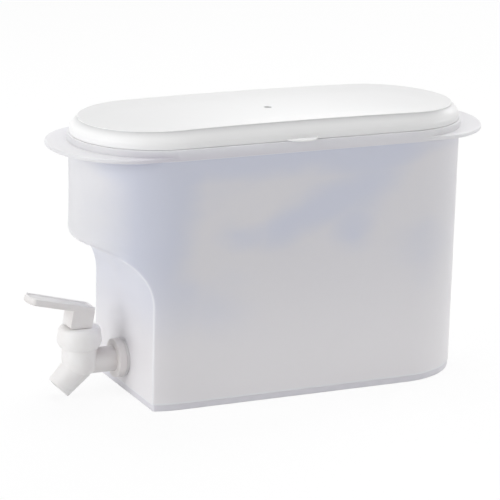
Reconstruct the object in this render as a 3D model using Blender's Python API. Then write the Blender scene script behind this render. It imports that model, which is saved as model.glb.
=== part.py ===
"""Oblong drink container with a crowned lid and a lever tap under its overhanging front.

The plan is an oblong: two straight sides and two round ends, swept about a spine along X.
The tap is at the -X end, +Z is up, and the foot stands at height zero. Lengths are in metres.
"""

import math

import bmesh
import bpy
from mathutils import Matrix, Vector

# Clearances shared by all pieces
SEAT_GAP = 0.0003
RUNNING_GAP = 0.0003
OVERRUN = 0.002

# Tank: oblong tub, widths measured from the spine
SPINE_HALF = 0.0826
TANK_TOP_HALF_WIDTH = 0.0542
TANK_TAPER = 0.0008
TANK_WALL = 0.0018
RIM_HEIGHT = 0.1728
FLOOR_HEIGHT = 0.0049
FLOOR_THICKNESS = 0.0024
FLOOR_FILLET = 0.003
FOOT_STEP = 0.0005
FOOT_RING_WIDTH = 0.0036
FOOT_CHAMFER = 0.0006
COLLAR_OUT = 0.0007
COLLAR_DEPTH = 0.0072
COLLAR_CHAMFER = 0.0003

# Grips: one flat plate that sticks out of the collar at each end
GRIP_LENGTH = 0.015
GRIP_ROOT_LENGTH = 0.0224
GRIP_THICKNESS = 0.0026
GRIP_BELOW_RIM = 0.0045
GRIP_TUCK = 0.0002
GRIP_EDGE = 0.0007

# Cut-back front: flat face behind the tip, cove up into the overhang, rounded lip
FRONT_SETBACK = 0.0359
FRONT_CORNER_RADIUS = 0.0012
INNER_CORNER_RADIUS = 0.0015
COVE_START_HEIGHT = 0.0685
COVE_RADIUS = 0.0363
LIP_RADIUS = 0.0055
LIP_BLEND_HEIGHT = 0.006

# Lid: set back from the collar's edge and narrower above its shoulder
LID_SETBACK = 0.0014
LID_NARROWING = 0.0048
LID_SIDE_HEIGHT = 0.00996
LID_SKIRT_HEIGHT = 0.0032
LID_STEP_HEIGHT = 0.0005
LID_STEP_WIDTH = 0.0002
LID_CROWN = 0.00194
LID_WALL = 0.0018
LID_LIP_HEIGHT = 0.0009
LID_BORDER = 0.004
LID_DISH_RAMP = 0.003
LID_DISH = 0.0007
LID_MIDDLE_HALF_WIDTH = 0.014
PLUG_DEPTH = 0.008
PLUG_WALL = 0.0014
PLUG_TAPER = 0.0005
PRY_TAB_LENGTH = 0.0067
PRY_TAB_WIDTH = 0.022
PRY_TAB_THICKNESS = 0.0015
GATE_RADIUS = 0.00275
GATE_DEPTH = 0.0004

# Tap body: shank through the tank's front, upright barrel, slanted spout
TAP_REACH = 0.031
SHANK_HEIGHT = 0.0225
SHANK_RADIUS = 0.0084
SHANK_BORE_RADIUS = 0.0034
SHANK_STEP = 0.0006
THREAD_END_BEYOND_NUT = 0.0032
FLANGE_WIDTH = 0.0045
FLANGE_THICKNESS = 0.0053
FLANGE_EDGE = 0.0006
BARREL_RADIUS = 0.0116
BARREL_WALL = 0.0024
BARREL_NECK = 0.0019
BARREL_BELOW_SHANK = 0.0012
BARREL_ROUND_DEPTH = 0.0081
SEAT_BELOW_BORE = 0.0001
SEAT_THICKNESS = 0.0015
SEAT_HOLE_RADIUS = 0.0045
SPOUT_TILT = math.radians(46)
SPOUT_OUTLET_FORWARD = 0.0146
SPOUT_OUTLET_DROP = 0.00645
SPOUT_ROOT_SETBACK = 0.0018
SPOUT_NARROWING = 0.0012
SPOUT_LENGTH = 0.020
SPOUT_WALL = 0.0021
SPOUT_EDGE = 0.0004

# Washers and lock nut on the shank, widths measured from its thread
OUTER_WASHER_WIDTH = 0.004
OUTER_WASHER_THICKNESS = 0.0015
INNER_WASHER_WIDTH = 0.0047
INNER_WASHER_THICKNESS = 0.002
WASHER_EDGE = 0.0004
NUT_FLANGE_WIDTH = 0.0054
NUT_FLANGE_THICKNESS = 0.002
NUT_CORNER_WIDTH = 0.0047
NUT_LENGTH = 0.0075
NUT_EDGE = 0.0006

# Bonnet: screw cap over the barrel's top
BONNET_SKIRT_LENGTH = 0.0098
BONNET_SKIRT_WALL = 0.0006
BONNET_BULGE = 0.0023
BONNET_BULGE_RISE = 0.0055
BONNET_SHOULDER_SETBACK = 0.0006
BONNET_SHOULDER_DROP = 0.0045
BONNET_CROWN_SETBACK = 0.0027
BONNET_CROWN_THICKNESS = 0.0026

# Seat cup: silicone bell with a solid nose
CUP_WALL = 0.001
CUP_RIM_SETBACK = 0.0004
CUP_RIM_THICKNESS = 0.0012
CUP_BELL_CLEARANCE = 0.0006
CUP_WAIST_INSET = 0.0011
CUP_WAIST_LENGTH = 0.0035
CUP_NOSE_COVER = 0.001
CUP_SEAT_OVERLAP = 0.0018
CUP_TIP_CLEARANCE = 0.0007
CUP_TIP_TAPER = 0.0008
CUP_TIP_LENGTH = 0.0018
CUP_POCKET_FLOOR = 0.0016
CUP_POCKET_HEADROOM = 0.0009

# Stem and pin
STEM_RADIUS = 0.0024
BUTTON_OUT = 0.0011
BUTTON_THICKNESS = 0.0024
EYE_WALL = 0.002
EYE_THICKNESS = 0.005
PIN_RADIUS = 0.0013
PIN_INSET = 0.0004
PIN_COVER = 0.0015

# Lever: hub with its cam heel, and paddle
CAM_BELOW_EYE = 0.0026
CAM_LIFT_PER_RADIAN = 0.0055
LEVER_TRAVEL = math.radians(28)
HUB_CHEEK = 0.0048
HUB_REAR_WALL = 0.0021
HUB_REAR_LEAN = 0.0019
HUB_FRONT_TOP = 0.0066
HUB_EDGE = 0.0006
PADDLE_RISE = math.radians(13.8)
PADDLE_BEHIND_HUB = 0.0005
PADDLE_OVER_EYE = 0.003
PADDLE_LENGTH = 0.0464
PADDLE_REAR_INSET = 0.0002
PADDLE_FLARE = 0.0016
PADDLE_TIP_BULGE = 0.0034
PADDLE_THICKNESS = 0.0045
PADDLE_RIM = 0.0014
PADDLE_RECESS = 0.0008
PADDLE_EDGE = 0.0008

# How finely round shapes are cut
END_STEPS = 11
BACK_STEPS = 12
CORNER_STEPS = 4
COVE_STEPS = 11
LIP_STEPS = 5
FILLET_STEPS = 3
SIDE_STEPS = 8
STRAIGHT_STEPS = 8
ROUND_STEPS = 32
SMALL_ROUND_STEPS = 20
EYE_STEPS = 22
CAM_STEPS = 6
TIP_STEPS = 8
LEAST_CORNER_ANGLE = math.radians(7)
HALVINGS = 30
SMOOTH_ANGLE = math.radians(35)
LID_SHOULDER_POWER = 1.55

# Tank and lid places that follow from the sizes above
TANK_BASE_HALF_WIDTH = TANK_TOP_HALF_WIDTH - TANK_TAPER
FLOOR_UNDERSIDE = FLOOR_HEIGHT - FLOOR_THICKNESS
COLLAR_HALF_WIDTH = TANK_TOP_HALF_WIDTH + COLLAR_OUT
COLLAR_BOTTOM = RIM_HEIGHT - COLLAR_DEPTH
GRIP_TOP = RIM_HEIGHT - GRIP_BELOW_RIM
GRIP_REACH = SPINE_HALF + COLLAR_HALF_WIDTH + GRIP_LENGTH
GRIP_STRAIGHT_HALF = SPINE_HALF + GRIP_ROOT_LENGTH
FRONT_FACE = SPINE_HALF + TANK_TOP_HALF_WIDTH - FRONT_SETBACK
LID_BOTTOM = RIM_HEIGHT + SEAT_GAP
LID_BASE_HALF_WIDTH = COLLAR_HALF_WIDTH - LID_SETBACK
LID_TOP_HALF_WIDTH = LID_BASE_HALF_WIDTH - LID_NARROWING
PRY_TAB_REACH = LID_BASE_HALF_WIDTH + PRY_TAB_LENGTH

# Radii of the tap's pieces
THREAD_RADIUS = SHANK_RADIUS - SHANK_STEP
FLANGE_RADIUS = SHANK_RADIUS + FLANGE_WIDTH
CHAMBER_RADIUS = BARREL_RADIUS - BARREL_WALL
SPOUT_ROOT_RADIUS = BARREL_RADIUS - SPOUT_ROOT_SETBACK
SPOUT_OUTLET_RADIUS = SPOUT_ROOT_RADIUS - SPOUT_NARROWING
OUTER_WASHER_RADIUS = THREAD_RADIUS + OUTER_WASHER_WIDTH
INNER_WASHER_RADIUS = THREAD_RADIUS + INNER_WASHER_WIDTH
NUT_FLANGE_RADIUS = THREAD_RADIUS + NUT_FLANGE_WIDTH
NUT_HEX_RADIUS = THREAD_RADIUS + NUT_CORNER_WIDTH
BONNET_SKIRT_RADIUS = BARREL_RADIUS + SEAT_GAP + BONNET_SKIRT_WALL
BONNET_BULGE_RADIUS = BONNET_SKIRT_RADIUS + BONNET_BULGE
BONNET_SHOULDER_RADIUS = BONNET_BULGE_RADIUS - BONNET_SHOULDER_SETBACK
BONNET_TOP_RADIUS = BONNET_SHOULDER_RADIUS - BONNET_CROWN_SETBACK
CUP_RIM_RADIUS = BARREL_RADIUS - CUP_RIM_SETBACK
CUP_BELL_TOP_RADIUS = CHAMBER_RADIUS - CUP_BELL_CLEARANCE
CUP_NOSE_RADIUS = SEAT_HOLE_RADIUS + CUP_SEAT_OVERLAP
CUP_WAIST_RADIUS = CUP_NOSE_RADIUS - CUP_WAIST_INSET
CUP_TIP_RADIUS = SEAT_HOLE_RADIUS - CUP_TIP_CLEARANCE
BUTTON_RADIUS = STEM_RADIUS + BUTTON_OUT
EYE_RADIUS = PIN_RADIUS + RUNNING_GAP + EYE_WALL

# Heights of the tap's pieces, from the shank up and down
TAP_X = -(FRONT_FACE + TAP_REACH)
BARREL_BOTTOM = SHANK_HEIGHT - SHANK_RADIUS - BARREL_BELOW_SHANK
BARREL_ROUND_START = BARREL_BOTTOM + BARREL_ROUND_DEPTH
SPOUT_OUTLET_HEIGHT = BARREL_BOTTOM - SPOUT_OUTLET_DROP
SEAT_HEIGHT = SHANK_HEIGHT - SHANK_BORE_RADIUS - SEAT_BELOW_BORE
NOSE_BOTTOM = SEAT_HEIGHT + SEAT_GAP
BUTTON_BOTTOM = NOSE_BOTTOM + CUP_POCKET_FLOOR + SEAT_GAP
CUP_POCKET_TOP = BUTTON_BOTTOM + BUTTON_THICKNESS + CUP_POCKET_HEADROOM
CUP_NOSE_TOP = CUP_POCKET_TOP + CUP_WALL + CUP_NOSE_COVER
CUP_WAIST_HEIGHT = CUP_NOSE_TOP + CUP_WAIST_LENGTH
BONNET_SKIRT_BOTTOM = SHANK_HEIGHT + SHANK_RADIUS + BARREL_NECK
BARREL_TOP = BONNET_SKIRT_BOTTOM + BONNET_SKIRT_LENGTH
CUP_RIM_BOTTOM = BARREL_TOP + SEAT_GAP
CUP_RIM_TOP = CUP_RIM_BOTTOM + CUP_RIM_THICKNESS
BONNET_CEILING = CUP_RIM_TOP + SEAT_GAP
BONNET_TOP = BONNET_CEILING + BONNET_CROWN_THICKNESS
BONNET_SHOULDER_HEIGHT = BONNET_TOP - BONNET_SHOULDER_DROP
CAM_BASE = EYE_RADIUS + CAM_BELOW_EYE
PIVOT_HEIGHT = BONNET_TOP + RUNNING_GAP + CAM_BASE

# Lever places, from the pin
HUB_HALF_WIDTH = EYE_THICKNESS / 2 + RUNNING_GAP + HUB_CHEEK
HUB_REAR_BOTTOM = EYE_RADIUS + RUNNING_GAP + HUB_REAR_WALL
HUB_REAR_TOP = HUB_REAR_BOTTOM + HUB_REAR_LEAN
PADDLE_REAR = HUB_REAR_TOP + PADDLE_BEHIND_HUB
PADDLE_REAR_HEIGHT = EYE_RADIUS + RUNNING_GAP + PADDLE_OVER_EYE
PADDLE_REAR_HALF_WIDTH = HUB_HALF_WIDTH - PADDLE_REAR_INSET
PADDLE_TIP_HALF_WIDTH = PADDLE_REAR_HALF_WIDTH + PADDLE_FLARE

# The origin is under the middle of the whole container, between paddle tip and rear grip
PADDLE_TIP_X = TAP_X + PADDLE_REAR - PADDLE_LENGTH * math.cos(PADDLE_RISE)
PADDLE_TIP_X -= PADDLE_THICKNESS * math.sin(PADDLE_RISE)
ORIGIN = Vector((-(PADDLE_TIP_X + GRIP_REACH) / 2, (PRY_TAB_REACH - COLLAR_HALF_WIDTH) / 2, 0))


def clear_scene():
    for obj in list(bpy.data.objects):
        bpy.data.objects.remove(obj)


def plastic(name, colour, roughness):
    """A plain moulded finish."""
    finish = bpy.data.materials.new(name)
    finish.use_nodes = True
    shader = finish.node_tree.nodes["Principled BSDF"]
    shader.inputs["Base Color"].default_value = (*colour, 1)
    shader.inputs["Roughness"].default_value = roughness
    shader.inputs["Metallic"].default_value = 0
    finish.diffuse_color = (*colour, 1)
    return finish


def empty(name, parent, location):
    obj = bpy.data.objects.new(name, None)
    bpy.context.scene.collection.objects.link(obj)
    obj.parent = parent
    obj.location = location
    return obj


def solid(name, mesh, parent, location=(0, 0, 0), finish=None):
    """An object from a bmesh, with its faces pointing outwards and its round faces smooth."""
    bmesh.ops.recalc_face_normals(mesh, faces=mesh.faces)
    data = bpy.data.meshes.new(name)
    mesh.to_mesh(data)
    mesh.free()
    data.shade_smooth()
    data.set_sharp_from_angle(angle=SMOOTH_ANGLE)
    obj = bpy.data.objects.new(name, data)
    bpy.context.scene.collection.objects.link(obj)
    obj.parent = parent
    obj.location = location
    if finish:
        data.materials.append(finish)
    return obj


def helper(name, mesh, parent, location=(0, 0, 0)):
    """A shape that only cuts or joins another one."""
    obj = solid(name, mesh, parent, location)
    obj.hide_render = True
    obj.display_type = "WIRE"
    return obj


def combine(target, other, operation):
    modifier = target.modifiers.new(f"{operation.title()} {other.name}", "BOOLEAN")
    modifier.operation = operation
    modifier.solver = "EXACT"
    modifier.object = other


def bevel(obj, width, segments=2):
    modifier = obj.modifiers.new("Rounded edges", "BEVEL")
    modifier.width = width
    modifier.segments = segments
    modifier.limit_method = "ANGLE"
    modifier.angle_limit = SMOOTH_ANGLE


def skin(mesh, rings):
    """Faces between each ring of vertices and the next."""
    for lower, upper in zip(rings, rings[1:]):
        count = len(lower)
        for i in range(count):
            j = (i + 1) % count
            mesh.faces.new((lower[i], lower[j], upper[j], upper[i]))


def loft(rings):
    """A closed solid through rings of points, with a flat cap at each end."""
    mesh = bmesh.new()
    rows = [[mesh.verts.new(point) for point in ring] for ring in rings]
    skin(mesh, rows)
    mesh.faces.new(rows[0])
    mesh.faces.new(rows[-1])
    return mesh


def turned(profile, steps, turn=Matrix.Identity(4)):
    """A profile of (radius, height) turned about Z, then moved by a matrix.

    A profile that starts and ends on the axis is a full solid, and any other closes on itself.
    """
    mesh = bmesh.new()
    rows = []
    for radius, height in profile:
        if radius == 0:
            rows.append([mesh.verts.new(turn @ Vector((0, 0, height)))])
            continue
        row = []
        for i in range(steps):
            angle = math.tau * i / steps
            point = Vector((radius * math.cos(angle), radius * math.sin(angle), height))
            row.append(mesh.verts.new(turn @ point))
        rows.append(row)
    if len(rows[0]) > 1:
        rows.append(rows[0])
    for one, two in zip(rows, rows[1:]):
        for i in range(steps):
            j = (i + 1) % steps
            if len(one) == 1:
                mesh.faces.new((one[0], two[i], two[j]))
            elif len(two) == 1:
                mesh.faces.new((one[i], one[j], two[0]))
            else:
                mesh.faces.new((one[i], one[j], two[j], two[i]))
    return mesh


def prism(outline, half_thickness, turn=Matrix.Identity(4)):
    """An outline of (x, z) points, extruded to both sides along Y."""
    rings = []
    for side in (-half_thickness, half_thickness):
        rings.append([turn @ Vector((x, side, z)) for x, z in outline])
    return loft(rings)


def rod(radius, start, end, steps, end_radius=None):
    """A round bar between two points."""
    start = Vector(start)
    along = Vector(end) - start
    turn = Matrix.Translation(start) @ along.to_track_quat("Z", "Y").to_matrix().to_4x4()
    last = radius if end_radius is None else end_radius
    return turned([(0, 0), (radius, 0), (last, along.length), (0, along.length)], steps, turn)


def with_mirror(north, west_tip, east_tip, height):
    """A full ring from the points of its +Y half and its two tips."""
    south = [(x, -y) for x, y in reversed(north)]
    return [(x, y, height) for x, y in [west_tip, *north, east_tip, *south]]


def tank_half_width(height):
    return TANK_BASE_HALF_WIDTH + TANK_TAPER * height / RIM_HEIGHT


# Centre of the lip's round edge, tangent to the cove and to the tank's round end
COVE_CENTRE_X = FRONT_FACE + COVE_RADIUS
LIP_HALF_WIDTH = tank_half_width(COVE_START_HEIGHT + COVE_RADIUS)
LIP_CENTRE_X = SPINE_HALF + LIP_HALF_WIDTH - LIP_RADIUS
LIP_CENTRE_HEIGHT = COVE_START_HEIGHT + math.sqrt(
    (COVE_RADIUS + LIP_RADIUS) ** 2 - (COVE_CENTRE_X - LIP_CENTRE_X) ** 2
)


def front_profile(inset):
    """(height, distance from the middle) of the front, up the cove and round the lip.

    An inset moves it into the material, so that the same line gives the inner face of the wall.
    """
    cove = COVE_RADIUS + inset
    lip = LIP_RADIUS - inset
    sweep = math.asin((LIP_CENTRE_HEIGHT - COVE_START_HEIGHT) / (COVE_RADIUS + LIP_RADIUS))
    points = []
    for step in range(COVE_STEPS + 1):
        angle = sweep * step / COVE_STEPS
        height = COVE_START_HEIGHT + cove * math.sin(angle)
        points.append((height, COVE_CENTRE_X - cove * math.cos(angle)))
    for step in range(1, LIP_STEPS + 1):
        angle = sweep * (1 - step / LIP_STEPS)
        height = LIP_CENTRE_HEIGHT - lip * math.sin(angle)
        points.append((height, LIP_CENTRE_X + lip * math.cos(angle)))
    return points


def corner_rounding(height, inset):
    """Rounding between front and wall: small beside the tap, and growing towards the lip."""
    lip_bottom = front_profile(inset)[COVE_STEPS][0]
    share = min(max((height - lip_bottom) / LIP_BLEND_HEIGHT + 1, 0), 1)
    share = share**2 * (3 - 2 * share)
    radius = FRONT_CORNER_RADIUS + (LIP_RADIUS - FRONT_CORNER_RADIUS) * share
    return max(radius - inset, INNER_CORNER_RADIUS if inset else FRONT_CORNER_RADIUS)


def front_distance(x, height, inset):
    """How far a place at x from the middle lies behind the flat front or the cove."""
    above = max(height - COVE_START_HEIGHT, 0)
    return math.hypot(COVE_CENTRE_X - x, above) - COVE_RADIUS - inset


def front_place(height, reach):
    """Distance from the middle of the line at one height that lies so far from the cove's axis."""
    above = max(height - COVE_START_HEIGHT, 0)
    return COVE_CENTRE_X - math.sqrt(max(reach**2 - above**2, 0))


def end_radius(angle, height, half_width, corner, inset):
    """Distance from the end's centre to the outline, in a direction given from the tip.

    The outline is the nearer one of the front and the round end, with a rounding between them.
    """
    near, far = 0, half_width
    for _ in range(HALVINGS):
        radius = (near + far) / 2
        x = SPINE_HALF + radius * math.cos(angle)
        past_wall = max(corner - half_width + radius, 0)
        past_front = max(corner - front_distance(x, height, inset), 0)
        if math.hypot(past_wall, past_front) > corner:
            far = radius
        else:
            near = radius
    return near


def tank_ring(height, inset):
    """The tank's outline at one height, moved into the material by an inset."""
    half_width = tank_half_width(height) - inset
    has_front = height < LIP_CENTRE_HEIGHT
    corner = corner_rounding(height, inset)
    cove = COVE_RADIUS + inset
    flat_end = (front_place(height, cove) - SPINE_HALF) / (half_width - corner)
    wall_start = (front_place(height, cove + corner) - SPINE_HALF) / half_width
    corner_start = max(math.acos(min(flat_end, 1)), LEAST_CORNER_ANGLE)
    corner_end = max(math.acos(min(wall_start, 1)), corner_start + LEAST_CORNER_ANGLE)
    angles = [0]
    angles += [corner_start + (corner_end - corner_start) * i / CORNER_STEPS for i in range(CORNER_STEPS)]
    angles += [corner_end + (math.pi / 2 - corner_end) * i / END_STEPS for i in range(END_STEPS + 1)]
    north = []
    for angle in angles:
        radius = end_radius(angle, height, half_width, corner, inset) if has_front else half_width
        north.append((-SPINE_HALF - radius * math.cos(angle), radius * math.sin(angle)))
    for step in range(BACK_STEPS):
        angle = math.pi / 2 * (1 - step / BACK_STEPS)
        north.append((SPINE_HALF + half_width * math.cos(angle), half_width * math.sin(angle)))
    return with_mirror(north[1:], north[0], (SPINE_HALF + half_width, 0), height)


def tank_rings(levels, inset):
    """Rings for (height, extra inset) levels below and above the cove, with the cove between."""
    rings = [tank_ring(height, inset + extra) for height, extra in levels if height < COVE_START_HEIGHT]
    rings += [tank_ring(height, inset) for height, _ in front_profile(inset)]
    rings += [tank_ring(height, inset + extra) for height, extra in levels if height > LIP_CENTRE_HEIGHT]
    return rings


def tank_outside():
    """Foot band, wall, cut-back front and collar, as one closed form."""
    levels = [
        (0, FOOT_STEP + FOOT_CHAMFER),
        (FOOT_CHAMFER, FOOT_STEP),
        (FLOOR_HEIGHT - FOOT_STEP, FOOT_STEP),
        (FLOOR_HEIGHT, 0),
        (COLLAR_BOTTOM, 0),
        (COLLAR_BOTTOM, COLLAR_CHAMFER - COLLAR_OUT),
        (COLLAR_BOTTOM + COLLAR_CHAMFER, -COLLAR_OUT),
        (RIM_HEIGHT - COLLAR_CHAMFER, -COLLAR_OUT),
        (RIM_HEIGHT, COLLAR_CHAMFER - COLLAR_OUT),
    ]
    return loft(tank_rings(levels, 0))


def tank_inside():
    """The hollow, from the rounded floor out through the mouth."""
    levels = []
    for step in range(FILLET_STEPS + 1):
        angle = math.pi / 2 * step / FILLET_STEPS
        rise = FLOOR_FILLET * (1 - math.cos(angle))
        levels.append((FLOOR_HEIGHT + rise, FLOOR_FILLET * (1 - math.sin(angle))))
    levels.append((RIM_HEIGHT + OVERRUN, 0))
    return loft(tank_rings(levels, TANK_WALL))


def foot_recess():
    """The shallow hollow under the floor, which leaves a foot ring to stand on."""
    return loft([tank_ring(height, FOOT_RING_WIDTH) for height in (-OVERRUN, FLOOR_UNDERSIDE)])


def grip_outline():
    """Plan of the grips: straight along the collar's sides, then half an ellipse at each end."""
    half_width = COLLAR_HALF_WIDTH - GRIP_TUCK
    length = GRIP_REACH - GRIP_STRAIGHT_HALF
    steps = 2 * BACK_STEPS
    points = []
    for end in (1, -1):
        for step in range(steps + 1):
            angle = math.pi / 2 - math.pi * step / steps
            points.append(
                (end * (GRIP_STRAIGHT_HALF + length * math.cos(angle)), end * half_width * math.sin(angle))
            )
    return points


def make_tank(assembly):
    frosted = plastic("frosted_polypropylene", (0.66, 0.68, 0.74), 0.45)
    tank = solid("tank", tank_outside(), assembly, finish=frosted)
    heights = (GRIP_TOP - GRIP_THICKNESS, GRIP_TOP)
    grips = helper("grip_plates", loft([[(x, y, z) for x, y in grip_outline()] for z in heights]), assembly)
    bevel(grips, GRIP_EDGE)
    hollow = helper("tank_hollow", tank_inside(), assembly)
    under_floor = helper("foot_hollow", foot_recess(), assembly)
    start = (-FRONT_FACE - OVERRUN, 0, SHANK_HEIGHT)
    end = (-FRONT_FACE + TANK_WALL + OVERRUN, 0, SHANK_HEIGHT)
    tap_hole = helper("tap_hole", rod(THREAD_RADIUS + SEAT_GAP, start, end, ROUND_STEPS), assembly)
    combine(tank, grips, "UNION")
    combine(tank, hollow, "DIFFERENCE")
    combine(tank, under_floor, "DIFFERENCE")
    combine(tank, tap_hole, "DIFFERENCE")
    return tank


def lid_ring(mesh, offset, height, crown_share):
    """A ring of vertices round the spine, raised along the middle by a share of the crown."""
    north = []
    for step in range(1, BACK_STEPS + 1):
        angle = math.pi / 2 * step / BACK_STEPS
        north.append((-SPINE_HALF - offset * math.cos(angle), offset * math.sin(angle)))
    for step in range(1, STRAIGHT_STEPS):
        north.append((SPINE_HALF * (2 * step / STRAIGHT_STEPS - 1), offset))
    for step in range(BACK_STEPS):
        angle = math.pi / 2 * (1 - step / BACK_STEPS)
        north.append((SPINE_HALF + offset * math.cos(angle), offset * math.sin(angle)))
    ring = with_mirror(north, (-SPINE_HALF - offset, 0), (SPINE_HALF + offset, 0), height)
    half_length = SPINE_HALF + LID_TOP_HALF_WIDTH
    verts = []
    for x, y, z in ring:
        rise = LID_CROWN * max(1 - (x / half_length) ** 2, 0)
        verts.append(mesh.verts.new((x, y, z + crown_share * rise)))
    return verts


def close_across(mesh, ring):
    """Fills a ring with strips from its +Y half to its -Y half."""
    half = len(ring) // 2
    for i in range(half):
        face = (ring[i], ring[i + 1], ring[-i - 1], ring[-i])
        mesh.faces.new([vert for k, vert in enumerate(face) if vert not in face[:k]])


def lid_side(inset, start):
    """(offset, height, crown share) round the shoulder and down the skirt, moved in by an inset."""
    points = []
    top = LID_SIDE_HEIGHT - LID_STEP_HEIGHT
    for step in range(SIDE_STEPS + 1):
        height = start + (LID_LIP_HEIGHT - start) * step / SIDE_STEPS
        share = max(height - LID_SKIRT_HEIGHT, 0) / (top - LID_SKIRT_HEIGHT)
        narrowing = LID_NARROWING * share**LID_SHOULDER_POWER
        crown = (height - LID_LIP_HEIGHT) / (top - LID_LIP_HEIGHT)
        points.append((LID_BASE_HALF_WIDTH - narrowing - inset, height, crown))
    return points


def lid_profile():
    """The lid's section from the middle of its top, over the edge, round the plug and back."""
    top = LID_SIDE_HEIGHT
    border = LID_TOP_HALF_WIDTH - LID_BORDER
    plug = tank_half_width(RIM_HEIGHT) - TANK_WALL - RUNNING_GAP
    plug_inner = plug - PLUG_WALL
    underside = top - LID_WALL
    inside = [point for point in reversed(lid_side(LID_WALL, underside)) if point[0] < plug_inner]
    return [
        (LID_MIDDLE_HALF_WIDTH, top - LID_DISH, 1),
        (border - LID_DISH_RAMP, top - LID_DISH, 1),
        (border - LID_DISH_RAMP / 2, top - LID_DISH / 2, 1),
        (border, top, 1),
        (LID_TOP_HALF_WIDTH - LID_STEP_WIDTH, top, 1),
        *lid_side(0, top - LID_STEP_HEIGHT),
        (LID_BASE_HALF_WIDTH, 0, 0),
        (plug, 0, 0),
        (plug - PLUG_TAPER, -PLUG_DEPTH, 0),
        (plug_inner, -PLUG_DEPTH, 0),
        (plug_inner, 0, 0),
        *inside,
        (border, underside, 1),
        (border - LID_DISH_RAMP, underside - LID_DISH, 1),
        (LID_MIDDLE_HALF_WIDTH, underside - LID_DISH, 1),
    ]


def pry_tab():
    """A thin rounded tab on the lid's -Y side, rooted in the lid's wall."""
    half_chord = PRY_TAB_WIDTH / 2
    radius = (half_chord**2 + PRY_TAB_LENGTH**2) / (2 * PRY_TAB_LENGTH)
    centre_y = radius - PRY_TAB_REACH
    root_y = LID_WALL / 2 - LID_BASE_HALF_WIDTH
    half_angle = math.acos((centre_y - root_y) / radius)
    outline = []
    for step in range(2 * TIP_STEPS + 1):
        angle = half_angle * (step / TIP_STEPS - 1)
        outline.append((radius * math.sin(angle), centre_y - radius * math.cos(angle)))
    bottom = SEAT_GAP
    return loft([[(x, y, z) for x, y in outline] for z in (bottom, bottom + PRY_TAB_THICKNESS)])


def make_lid(assembly):
    white = plastic("white_lid", (0.88, 0.88, 0.88), 0.38)
    mesh = bmesh.new()
    rings = [lid_ring(mesh, *point) for point in lid_profile()]
    skin(mesh, rings)
    close_across(mesh, rings[0])
    close_across(mesh, rings[-1])
    lid = solid("lid", mesh, assembly, (0, 0, LID_BOTTOM), white)
    tab = helper("lid_tab", pry_tab(), lid)
    panel = LID_SIDE_HEIGHT - LID_DISH + LID_CROWN
    gate_mesh = rod(GATE_RADIUS, (0, 0, panel - GATE_DEPTH), (0, 0, panel + OVERRUN), SMALL_ROUND_STEPS)
    gate = helper("lid_gate_dimple", gate_mesh, lid)
    combine(lid, tab, "UNION")
    combine(lid, gate, "DIFFERENCE")
    return lid


def spout_direction():
    return Vector((-math.sin(SPOUT_TILT), 0, -math.cos(SPOUT_TILT)))


def barrel_profile():
    """Radius and height of the barrel from its rounded bottom to its open top."""
    points = [(0, BARREL_BOTTOM)]
    steps = 2 * FILLET_STEPS
    for step in range(1, steps + 1):
        angle = math.pi / 2 * step / steps
        drop = BARREL_ROUND_DEPTH * math.cos(angle)
        points.append((BARREL_RADIUS * math.sin(angle), BARREL_ROUND_START - drop))
    points += [(BARREL_RADIUS, BARREL_TOP), (0, BARREL_TOP)]
    return points


def shank_profile():
    """Radius and distance along the shank, from the barrel's axis to the threaded end."""
    flange_end = TAP_REACH - SEAT_GAP - OUTER_WASHER_THICKNESS - SEAT_GAP
    flange_start = flange_end - FLANGE_THICKNESS
    thread_end = TAP_REACH + TANK_WALL + 3 * SEAT_GAP + INNER_WASHER_THICKNESS + NUT_LENGTH
    thread_end += THREAD_END_BEYOND_NUT
    return [
        (0, 0),
        (SHANK_RADIUS, 0),
        (SHANK_RADIUS, flange_start),
        (FLANGE_RADIUS - FLANGE_EDGE, flange_start),
        (FLANGE_RADIUS, flange_start + FLANGE_EDGE),
        (FLANGE_RADIUS, flange_end - FLANGE_EDGE),
        (FLANGE_RADIUS - FLANGE_EDGE, flange_end),
        (THREAD_RADIUS, flange_end),
        (THREAD_RADIUS, thread_end - FLANGE_EDGE),
        (THREAD_RADIUS - FLANGE_EDGE, thread_end),
        (0, thread_end),
    ]


def spout_bore():
    """The slanted bore, cut off level under the valve seat."""
    direction = spout_direction()
    outlet = Vector((-SPOUT_OUTLET_FORWARD, 0, SPOUT_OUTLET_HEIGHT))
    across = Vector((math.cos(SPOUT_TILT), 0, -math.sin(SPOUT_TILT)))
    radius = SPOUT_OUTLET_RADIUS - SPOUT_WALL
    low, high = [], []
    for step in range(SMALL_ROUND_STEPS):
        angle = math.tau * step / SMALL_ROUND_STEPS
        point = outlet + radius * (math.cos(angle) * across + math.sin(angle) * Vector((0, 1, 0)))
        low.append(point + direction * OVERRUN)
        climb = (SEAT_HEIGHT - SEAT_THICKNESS - point.z) / direction.z
        high.append(point + direction * climb)
    return loft([low, high])


def chamber_profile():
    """The valve chamber above the seat, with the seat's hole below it."""
    return [
        (0, SEAT_HEIGHT - SEAT_THICKNESS - SEAT_GAP),
        (SEAT_HOLE_RADIUS, SEAT_HEIGHT - SEAT_THICKNESS - SEAT_GAP),
        (SEAT_HOLE_RADIUS, SEAT_HEIGHT),
        (CHAMBER_RADIUS, SEAT_HEIGHT),
        (CHAMBER_RADIUS, BARREL_TOP + OVERRUN),
        (0, BARREL_TOP + OVERRUN),
    ]


def along_shank():
    """Turns a profile's height into distance from the barrel's axis towards the tank."""
    return Matrix.Translation((0, 0, SHANK_HEIGHT)) @ Matrix.Rotation(math.pi / 2, 4, "Y")


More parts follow.
